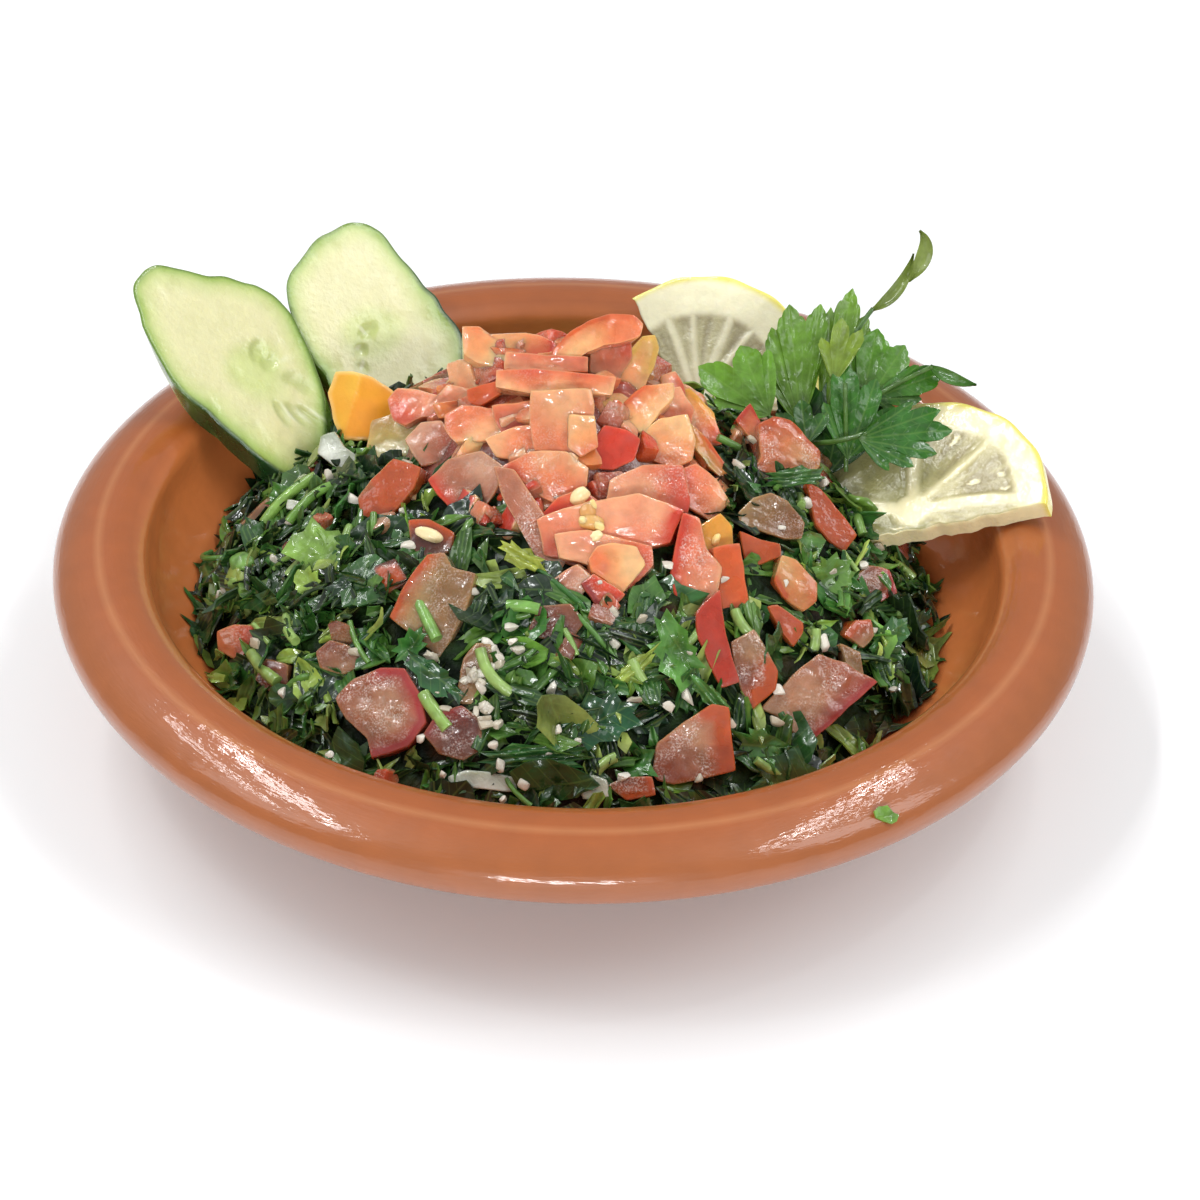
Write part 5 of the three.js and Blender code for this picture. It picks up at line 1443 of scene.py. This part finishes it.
def smooth_loop(corners, steps):
    """Closed curve through the given points, evenly smooth."""
    corners = np.asarray(corners, float)
    count = len(corners)
    pieces = []
    for i in range(count):
        p = [corners[(i + k) % count] for k in (-1, 0, 1, 2)]
        knots = np.cumsum([0] + [np.linalg.norm(p[k + 1] - p[k]) ** 0.5 for k in range(3)])
        t = np.linspace(knots[1], knots[2], steps, endpoint=False)[:, None]

        def between(a, b, start, end):
            return (end - t) / (end - start) * a + (t - start) / (end - start) * b

        first = [between(p[k], p[k + 1], knots[k], knots[k + 1]) for k in range(3)]
        second = [between(first[k], first[k + 1], knots[k], knots[k + 2]) for k in range(2)]
        pieces.append(between(second[0], second[1], knots[1], knots[2]))
    return np.concatenate(pieces)


def slice_body(outline, thickness, slant, rings, middle):
    """Closed slice: the face at height 0 in rings, a soft edge, the side, and the back."""
    centre = np.asarray(middle, float)
    lean = np.array([slant[0], -slant[1]])
    face = [(0, SLICE_FACE * share) for share in np.arange(1, rings + 1) / rings]
    edge = [(0.12, 0.994), (0.45, 1.0)]
    rest = [(0.33 * thickness, 1.0), (0.66 * thickness, 1.0), (thickness, 1.0), (thickness, 0.5)]
    loops = []
    for depth, share in face + edge + rest:
        loops.append(raised(centre + (outline - centre) * share + lean * depth / thickness, -depth))
    return stacked(np.array(loops))


def from_middle(plan, place, middle):
    """How far points are from a place, along and across the line from the middle to it."""
    towards = unit(np.asarray(place, float) - middle + 1e-6)
    return (plan - place) @ towards, (plan - place) @ np.array([-towards[1], towards[0]])


def make_cucumber(name, row):
    outline = smooth_loop(row["outline"], OUTLINE_STEPS)
    if np.cross(outline[1] - outline[0], outline[2] - outline[1]) < 0:
        outline = outline[::-1]
    middle = np.asarray(row["middle"], float)
    uneven = noise(raised(outline), 4.0, 45)
    outline = outline + unit(outline - middle) * 0.55 * (uneven - 0.6)[:, None]
    points, triangles = slice_body(outline, CUCUMBER_THICKNESS, CUCUMBER_SLANT, CUCUMBER_RINGS, middle)
    plan = points[:, :2]
    inward = line_distance(plan, closed(outline))
    on_face = points[:, 2] > -0.2
    spot = raised(plan)
    wave = noise(spot, 7.0, 41)
    colours = CUCUMBER_COLOURS
    away = np.linalg.norm(plan - middle, axis=1)
    dark = smooth(0.1, 0.85, unit(plan - middle + 1e-6) @ unit(np.array(row["dark side"])))
    tint = mixed(colours["middle"], colours["flesh"], smooth(4, 10, away + 2 * wave))
    edge = inward + 0.5 * wave
    wide = 1 + 0.45 * dark
    tint = mixed(tint, colours["ring"], 0.8 * smooth(6.5 * wide, 2.0, edge))
    tint = mixed(tint, colours["band"], 0.9 * smooth(3.0 * wide, 0.7, edge))
    peel = mixed(colours["peel"], colours["dark peel"], dark)
    tint = mixed(tint, peel, smooth(1.1 * wide, 0.35, inward))
    relief = np.zeros(len(points))
    for place, (half_wide, half_long) in row["pockets"]:
        along, across = from_middle(plan, place, middle)
        size = np.hypot(along / half_long, across / half_wide) + 0.2 * wave
        ring = np.exp(-(((size - 0.95) / 0.35) ** 2))
        tint = mixed(tint, colours["pocket"], (0.5 * smooth(1.5, 0.3, size) + 0.2 * ring) * on_face)
        relief -= 0.35 * smooth(1.3, 0.3, size)
    # Pale seed marks: partly the seeds' own colour, partly painted glints
    for place, length in row["seeds_and_glints"]:
        along, across = from_middle(plan, place, middle)
        size = np.hypot(along / length, across / SEED_AND_GLINT_HALF_WIDTH)
        tint = mixed(tint, colours["seed_and_glint"], 0.6 * smooth(1.4, 0.3, size) * on_face)
    relief += 0.12 * wave + 0.08 * noise(spot, 2.2, 42)
    points[:, 2] += np.minimum(relief, 0) * on_face * smooth(0.5, 2.0, inward)
    tint = tint * (1 + 0.03 * noise(spot, 3.0, 43))[:, None]
    side = ~on_face & (points[:, 2] > -CUCUMBER_THICKNESS + 0.1)
    stripes = 1 + 0.3 * noise(np.column_stack([plan * 1.2, points[:, 2] * 0.2]), 2.4, 44)
    tint = np.where(side[:, None], peel * stripes[:, None], tint)
    pile = Pile(CUCUMBER_TONE)
    grain = np.where(on_face, 0.35, 0.1)
    pile.put(points, triangles, row, tint, grain)
    pile.piece(name + "_slice", "cucumber", CUCUMBER_FLESH, [name])


# Lemon slices: a wall between segments has a direction and a half width
LEMON_RADIUS = 28.5
LEMON_THICKNESS = 4.5
LEMON_RINGS = 44
PEEL_STEPS = 120
CUT_STEPS = 40
LEMON_COLOURS = {
    "rind": linear(240, 230, 116),
    "pith": linear(248, 242, 206),
    "pulp": linear(166, 156, 120),
    "bright pulp": linear(206, 200, 156),
    "green pulp": linear(152, 152, 102),
    "wall": linear(238, 234, 200),
}
LEMONS = {
    "lemon_back": {
        "at": (25.5, 64.2, 27),
        "facing": {"turn": -20, "tilt": 40},
        "span": (5, 138),
        "corner": (-1.5, -3),
        "walls": [(128, 0.2), (106, 0.0), (84, 0.2), (62, 0.0), (40, 0.2), (10, 0.2)],
        "pulp": 20.0,
        "middle": (6, 11),
        "core": 2.2,
        "green": 0.0,
        "tone": (1.0, 1.0, 1.0),
    },
    "lemon_right": {
        "at": (68.8, 9.8, 36),
        "facing": {"turn": -52, "tilt": 62},
        "span": (38, 240),
        "corner": None,
        "walls": [(44, 0.7), (90, 0.0), (132, 0.6), (208, 0.9)],
        "pulp": 22.3,
        "middle": (-9, 5),
        "core": 3.4,
        # This slice's greener pulp and darker tone are partly its own colour, partly painted shade
        "green": 1.0,
        "tone": (0.89, 0.85, 0.72),
    },
}


def make_lemon(name, row):
    start, end = row["span"]
    angle = np.radians(np.linspace(start, end, PEEL_STEPS))
    wavy = LEMON_RADIUS - 0.35 - 0.4 * np.sin(7.3 * angle + 1) ** 2
    outline = np.column_stack([wavy * np.cos(angle), wavy * np.sin(angle)])
    ends = [outline[-1], row["corner"], outline[0]] if row["corner"] else [outline[-1], outline[0]]
    straight = []
    for a, b in zip(ends, ends[1:]):
        a, b = np.asarray(a, float), np.asarray(b, float)
        steps = np.linspace(0, 1, CUT_STEPS, endpoint=False)[1:, None]
        cut = a * (1 - steps) + b * steps
        ragged = noise(raised(cut), 2.6, 54) * np.sin(np.pi * steps[:, 0])
        inward = unit(np.array([a[1] - b[1], b[0] - a[0]]))
        straight.append(cut + inward * 0.8 * (0.5 + ragged)[:, None])
        if row["corner"] and len(straight) == 1:
            straight.append(np.array([row["corner"]], float))
    outline = np.concatenate([outline, *straight])
    points, triangles = slice_body(outline, LEMON_THICKNESS, (0, 0), LEMON_RINGS, row["middle"])
    plan = points[:, :2]
    radius = np.hypot(plan[:, 0], plan[:, 1])
    around = np.degrees(np.arctan2(plan[:, 1], plan[:, 0])) % 360
    spot = raised(plan)
    wave = noise(spot, 6.0, 51)
    on_face = points[:, 2] > -0.2
    gap = np.full(len(points), 99.0)
    for direction, half in row["walls"]:
        bent = direction + 3 * np.sin(radius / 6 + direction)
        off = np.radians((around - bent + 180) % 360 - 180)
        gap = np.minimum(gap, np.where(np.abs(off) < 1.2, np.abs(np.sin(off)) * radius, 99) - half)
    gap = np.minimum(gap, radius - row["core"])
    gap = np.minimum(gap, (row["pulp"] + 0.6 * wave - radius) * 0.8)
    vesicle = noise(flat(radius / 5, around / 2.6), 1.0, 52)
    colours = LEMON_COLOURS
    pulp = mixed(colours["pulp"], colours["bright pulp"], smooth(-0.7, 0.8, 0.6 * vesicle + 0.6 * wave))
    # Greener pulp towards one side: partly the pulp's own colour, partly painted shade
    greener = smooth(-0.3, 0.6, wave + 0.02 * (around - 130))
    pulp = mixed(pulp, colours["green pulp"], 0.75 * row["green"] * greener)
    tint = mixed(colours["pith"], pulp, smooth(-0.3, 1.4, gap))
    tint = mixed(tint, colours["wall"], 0.5 * np.exp(-(((gap + 0.1) / 0.5) ** 2)) * (radius < row["pulp"]))
    tint = mixed(tint, colours["rind"], smooth(LEMON_RADIUS - 2.4, LEMON_RADIUS - 0.8, radius))
    sunk = smooth(0.0, 1.6, gap)
    points[:, 2] += on_face * (sunk * (-0.25 + 0.09 * vesicle + 0.1 * wave) + 0.08 * noise(spot, 2.5, 53))
    side = points[:, 2] < -0.4
    rind = (radius > LEMON_RADIUS - 1.6)[:, None]
    tint = np.where(side[:, None], np.where(rind, colours["rind"], colours["pith"]), tint)
    pile = Pile(row["tone"])
    pile.put(points, triangles, row, tint, 0.1 + 0.6 * sunk)
    pile.piece(name + "_slice", "lemon", LEMON_FLESH, [name])


# Piece of orange pepper: a slab of the fruit's wall, folded along a ridge
PEPPER = {
    "at": (-45, 27, 45.5),
    "facing": {"turn": 4, "tilt": 38},
    "corners": [
        (-7.9, 3.2), (-6.3, 7.6), (-2.4, 7.2), (1.6, 6), (5.6, 3.2), (9, -0.4), (6.5, -4.4), (2.4, -7.4),
        (-4.8, -7.2), (-6.5, -3.2),
    ],
    "thickness": 7,
    "ridge": -2.5,
    "fall": 0.55,
}
PEPPER_COLOURS = {
    "ridge": linear(226, 152, 20),
    "flesh": linear(230, 174, 50),
    "deep": linear(232, 132, 14),
    "edge": linear(254, 222, 150),
}


def make_pepper():
    outline = cut_outline(PEPPER["corners"], np.zeros(3))
    points, triangles = slab(outline, PEPPER["thickness"], -0.04, (0, 0))
    plan = points[:, :2]
    inward = line_distance(plan, closed(outline))
    past = PEPPER["ridge"] - plan[:, 0] + 0.3 * plan[:, 1]
    points[:, 2] -= PEPPER["fall"] * np.maximum(0, past) + 0.02 * plan[:, 0] ** 2
    points[:, 2] += 0.2 * noise(points, 4.0, 71)
    colours = PEPPER_COLOURS
    tint = mixed(colours["ridge"], colours["flesh"], smooth(-0.5, 0.7, past))
    tint = mixed(tint, colours["deep"], 0.5 * smooth(-0.2, 0.8, noise(points, 5.0, 72)))
    tint = mixed(tint, colours["edge"], 0.5 * np.exp(-((inward / 0.5) ** 2)))
    pile = Pile()
    pile.put(points, triangles, PEPPER, tint, 0.15)
    pile.piece("pepper_chunk", "pepper", PEPPER_FLESH, ["pepper_piece"])


# Parsley sprig: leaflets with lobes round their own base, each lobe a direction, a length and a half width
SPRIG_TONE = (0.93, 0.87, 0.85)
SPRIG_PLACE = {"at": (48, 30, 42), "facing": {"turn": 0, "tilt": 45}}
LEAFLETS = [
    ((4, -10, 0.5), [(112, 22, 22), (80, 23, 20), (52, 20, 20), (140, 17, 18)], (34, 84, 38)),
    ((0, -8, 0.0), [(150, 13, 24), (110, 15, 22), (70, 14, 20)], (38, 90, 40)),
    ((2.7, 0.4, 0.5), [(79, 31, 9), (87, 26, 8), (70, 26.5, 9)], (100, 150, 66)),
    ((-2, 0, 1.5), [(96, 26.5, 12), (107, 22, 12), (82, 27, 10), (119, 13, 14)], (92, 144, 62)),
    ((10.2, 3.2, 2.5), [(79, 18.5, 18), (58, 17.5, 18), (38, 16, 16), (100, 13, 13)], (78, 136, 58)),
    ((13, 6, 4), [(24, 15.5, 18), (39, 12, 13), (2, 10, 15), (-30, 6, 14)], (58, 118, 48)),
    ((4.4, 8.5, 6), [(84, 14, 13), (64, 13, 12), (106, 10, 12)], (116, 152, 74)),
    ((-8.6, 1.5, 4.5), [(146, 18, 20), (114, 16, 20), (93, 14, 15), (167, 12, 18), (186, 9, 14)],
     (98, 158, 70)),
    ((7.5, -8, 7), [(93, 21, 14), (72, 18.5, 13), (50, 15, 14), (113, 13, 13)], (50, 114, 46)),
    ((9.3, -4.3, 11.5),
     [(8, 19.5, 11), (22, 18, 10), (36, 13.5, 13), (-9, 16.2, 11), (-25, 12.5, 12), (-45, 9, 14)],
     (44, 110, 44)),
    ((-1, -5, 7), [(135, 9, 20), (98, 9.5, 20), (60, 8, 20)], (40, 92, 40)),
]
# Long blades: start, bend and end, width and green
BLADES = [
    ((12.4, 25.2, 3), (18.8, 28.4, 4), (20.6, 37.2, 5), 2.8, (128, 152, 68)),
    ((19.8, 31.5, 4), (25.2, 38.0, 5.5), (21.6, 41.9, 6), 3.4, (136, 158, 74)),
    ((24.5, 13, 5), (29, 10, 4.5), (34.5, 9.7, 3.5), 2.8, (84, 136, 58)),
]
# Stems: start, bend and end, and radius
SPRIG_STEMS = [
    ((-12, -20, -1), (-3, -12, 4), (1, 2, 2), 0.75),
    ((-1, -3, 2), (-5, -4, 4), (-10, 3, 4), 0.5),
    ((0, -3, 2), (2, -6, 9), (11, -3, 11), 0.6),
    ((6, 14, 1), (9, 21, 1.5), (12.6, 25.6, 3), 0.5),
    ((7, 2, 4), (15, 8, 4.5), (25, 13, 5), 0.5),
    ((7.5, -10, 5), (7, 0, 8), (6.6, 8, 8), 0.5),
]
SPRIG_STEM_GREEN = linear(84, 128, 52)
SPRIG_STEPS = 16
LEAFLET_TONE = (1.12, 1.0, 0.42)
LEAFLET_STEPS = 120
LEAFLET_RINGS = 9


def lobe_reach(lobes, degrees):
    """How far a leaflet goes in each direction, with small round teeth, and where its lobe points there."""
    reach, axis = np.zeros_like(degrees), np.zeros_like(degrees)
    for direction, length, half in lobes:
        off = np.abs(degrees - direction) / (1.1 * half)
        tooth = np.abs(np.sin(np.pi * (off + 0.12) / 0.46)) ** 0.8 * smooth(0.12, 0.4, off)
        here = length * np.maximum(0.15, 1.02 - 0.36 * off**1.1 - 0.16 * off**3 + 0.06 * tooth)
        axis = np.where(here > reach, direction, axis)
        reach = np.maximum(reach, here)
    return reach, axis


def leaflet(pile, base, lobes, colour):
    low = min(direction - 1.5 * half for direction, _, half in lobes)
    high = max(direction + 1.5 * half for direction, _, half in lobes)
    degrees = np.linspace(low, high, LEAFLET_STEPS)
    reach, axis = lobe_reach(lobes, degrees)
    ends = np.minimum(np.arange(LEAFLET_STEPS), np.arange(LEAFLET_STEPS)[::-1]) / (LEAFLET_STEPS * 0.14)
    reach = reach * np.minimum(1, 0.35 + 0.65 * ends)
    share = (np.arange(LEAFLET_RINGS) + 1)[:, None] / LEAFLET_RINGS
    far = share * reach
    angle = np.radians(degrees)
    x, y = base[0] + far * np.cos(angle), base[1] + far * np.sin(angle)
    across = far * np.sin(np.radians(degrees - axis))
    own = flat(x, y, base[2] * 9)
    fold = 0.3 * np.abs(across) * share
    wave = 0.8 * noise(own, 6.0, 60) * share - 0.0035 * far**2
    z = base[2] + wave + fold + 0.35 * noise(own, 2.2, 61)
    count = 1 + LEAFLET_RINGS * LEAFLET_STEPS
    front = np.concatenate([[base], flat(x, y, z).reshape(-1, 3)])
    points = np.concatenate([front, front - (0, 0, LEAF_THICKNESS)])
    at = 1 + np.arange(LEAFLET_RINGS * LEAFLET_STEPS).reshape(LEAFLET_RINGS, LEAFLET_STEPS)
    zero = np.zeros(LEAFLET_STEPS - 1, int)
    faces = [np.stack([zero, at[0, :-1], at[0, 1:]], 1)]
    for inner, outer in zip(at, at[1:]):
        faces += band(inner[:-1], outer[:-1], inner[1:], outer[1:])
    faces = np.concatenate(faces)
    border = np.concatenate([[0], at[:, 0], at[-1, 1:], at[-2::-1, -1]])
    after = np.roll(border, -1)
    wall = band(border, border + count, after, after + count)
    triangles = np.concatenate([faces, faces[:, ::-1] + count, *wall])
    tone = linear(*colour) * LEAFLET_TONE
    level = 1 + 0.2 * noise(own, 3.0, 62) + 0.45 * (share - 0.55)
    tint = np.concatenate([[tone * 0.7], (tone * level[..., None]).reshape(-1, 3)])
    spot = np.concatenate([[(0, 0, 0)], flat(far, across).reshape(-1, 3)])
    pile.put(points, triangles, SPRIG_PLACE, np.tile(tint, (2, 1)), 0.0, np.tile(spot, (2, 1)))


def blade(pile, start, over, end, width, colour):
    """A narrow folded leaflet along a curve."""
    path = curve(start, over, end, SPRIG_STEPS)
    along = unit(np.gradient(path, axis=0))
    across = unit(np.column_stack([-along[:, 1], along[:, 0], 0 * along[:, 0]]))
    share = np.clip(np.linspace(0, 1, len(path)), 0.03, 0.97)
    half = width / 2 * np.sin(np.pi * share**0.8) ** 0.8
    loops = []
    for side, rise in ((1, 0.7), (0.5, 0.1), (0, -0.2), (-0.5, 0.1), (-1, 0.7)):
        loops.append(path + across * (half * side)[:, None] + (0, 0, rise))
    upper = np.array(loops).transpose(1, 0, 2)
    lower = upper[:, ::-1] - (0, 0, LEAF_THICKNESS)
    points, triangles = stacked(np.concatenate([upper, lower], 1))
    pile.put(points, triangles[:, ::-1], SPRIG_PLACE, linear(*colour), 0.4)


def make_sprig():
    pile = Pile(SPRIG_TONE)
    for base, lobes, colour in LEAFLETS:
        leaflet(pile, np.array(base, float), lobes, colour)
    for row in BLADES:
        blade(pile, *row)
    for start, over, end, radius in SPRIG_STEMS:
        points, triangles = tube(curve(start, over, end, SPRIG_STEPS), radius)
        pile.put(points, triangles, SPRIG_PLACE, SPRIG_STEM_GREEN, 0.3)
    pile.piece("sprig_leaves", "parsley", LEAF, ["parsley_sprig"])


make_dish()
make_heap_core()
make_juice()
make_leaves()
make_stems()
make_grains()
make_crown()
make_salad_tomatoes()
make_seeds_and_onions()
for cucumber_name, cucumber_row in CUCUMBERS.items():
    make_cucumber(cucumber_name, cucumber_row)
for lemon_name, lemon_row in LEMONS.items():
    make_lemon(lemon_name, lemon_row)
make_pepper()
make_sprig()


# Floor, light and camera
FLOOR_SIZE = 6.0
FLOOR_WHITE = 0.95
LIGHT_COLOUR = (0.97, 0.985, 1.0)
WORLD_STRENGTH = 0.4
LIGHT_AIM = (0, 0, 0.03)
# Each light: name, place in metres, size, power, and the swing of its long side if it looks straight down
LIGHTS = [
    ("left_window", (-0.69, 0.36, 1.5), (0.1, 1.5), 9.0, -8),
    ("left_pane", (-1.03, 0.3, 1.5), (0.06, 1.2), 5.0, -6),
    ("right_window", (0.61, 0.35, 1.5), (0.05, 1.6), 5.0, 8),
    ("right_pane", (0.78, 0.25, 1.5), (0.03, 1.2), 2.4, 8),
    ("front", (0.0, -1.44, 0.5), (0.66, 0.18), 10.0, None),
    ("left_fill", (-1.15, -0.35, 1.25), (0.8, 0.6), 3.0, None),
    ("right_fill", (1.15, -0.35, 1.25), (0.8, 0.6), 5.5, None),
]
# Places of the small lights that give the wet parts their glints
SPOTS = [
    (-0.25, -1.42, 0.42),
    (0.3, -1.42, 0.55),
    (-0.72, -0.1, 1.5),
    (-0.64, 0.85, 1.5),
    (0.66, 0.0, 1.5),
    (0.57, 0.85, 1.5),
]
SPOT_SIZE = (0.045, 0.045)
SPOT_POWER = 0.7
CAMERA_ELEVATION = 36.3
CAMERA_ROLL = 2.1
CAMERA_DISTANCE = 0.56
CAMERA_AIM = (0.0054, 0.0, 0.0173)
CAMERA_LENS = 81.33
CAMERA_SENSOR = 36


def make_floor():
    half = FLOOR_SIZE / 2
    mesh = bpy.data.meshes.new("floor")
    corners = [(-half, -half, 0), (half, -half, 0), (half, half, 0), (-half, half, 0)]
    mesh.from_pydata(corners, [], [(0, 1, 2, 3)])
    floor = bpy.data.objects.new("floor", mesh)
    bpy.context.scene.collection.objects.link(floor)
    paint = bpy.data.materials.new("floor")
    paint.use_nodes = True
    shader = paint.node_tree.nodes["Principled BSDF"]
    shader.inputs["Base Color"].default_value = (FLOOR_WHITE, FLOOR_WHITE, FLOOR_WHITE, 1)
    shader.inputs["Roughness"].default_value = 0.9
    shader.inputs["Specular IOR Level"].default_value = 0.1
    mesh.materials.append(paint)


def area_light(name, place, size, power, swing=None):
    """A soft light, aimed at the dish, or straight down with its long side swung from the Y axis."""
    light = bpy.data.lights.new(name, "AREA")
    light.shape = "RECTANGLE"
    light.size, light.size_y = size
    light.energy = power
    light.color = LIGHT_COLOUR
    made = bpy.data.objects.new(name, light)
    made.location = place
    if swing is None:
        made.rotation_euler = (Vector(LIGHT_AIM) - Vector(place)).to_track_quat("-Z", "Y").to_euler()
    else:
        made.rotation_euler = (0, 0, np.radians(swing))
    bpy.context.scene.collection.objects.link(made)


def make_lights():
    for row in LIGHTS:
        area_light(*row)
    for number, place in enumerate(SPOTS):
        area_light(f"spot_{number}", place, SPOT_SIZE, SPOT_POWER)
    world = bpy.data.worlds.new("studio")
    world.use_nodes = True
    background = world.node_tree.nodes["Background"]
    background.inputs["Color"].default_value = (*LIGHT_COLOUR, 1)
    background.inputs["Strength"].default_value = WORLD_STRENGTH
    bpy.context.scene.world = world


def make_camera():
    elevation, roll = np.radians(CAMERA_ELEVATION), np.radians(CAMERA_ROLL)
    forward = np.array([0, np.cos(elevation), -np.sin(elevation)])
    right = np.array([1.0, 0, 0])
    up = np.cross(right, forward)
    x_axis = right * np.cos(roll) + up * np.sin(roll)
    y_axis = -right * np.sin(roll) + up * np.cos(roll)
    camera = bpy.data.cameras.new("camera")
    camera.sensor_width = CAMERA_SENSOR
    camera.lens = CAMERA_LENS
    made = bpy.data.objects.new("camera", camera)
    matrix = np.eye(4)
    matrix[:3, :3] = np.column_stack([x_axis, y_axis, -forward])
    matrix[:3, 3] = np.asarray(CAMERA_AIM) - forward * CAMERA_DISTANCE
    made.matrix_world = Matrix(matrix.tolist())
    bpy.context.scene.collection.objects.link(made)
    bpy.context.scene.camera = made


make_floor()
make_lights()
make_camera()
bpy.context.scene.view_settings.view_transform = "Standard"
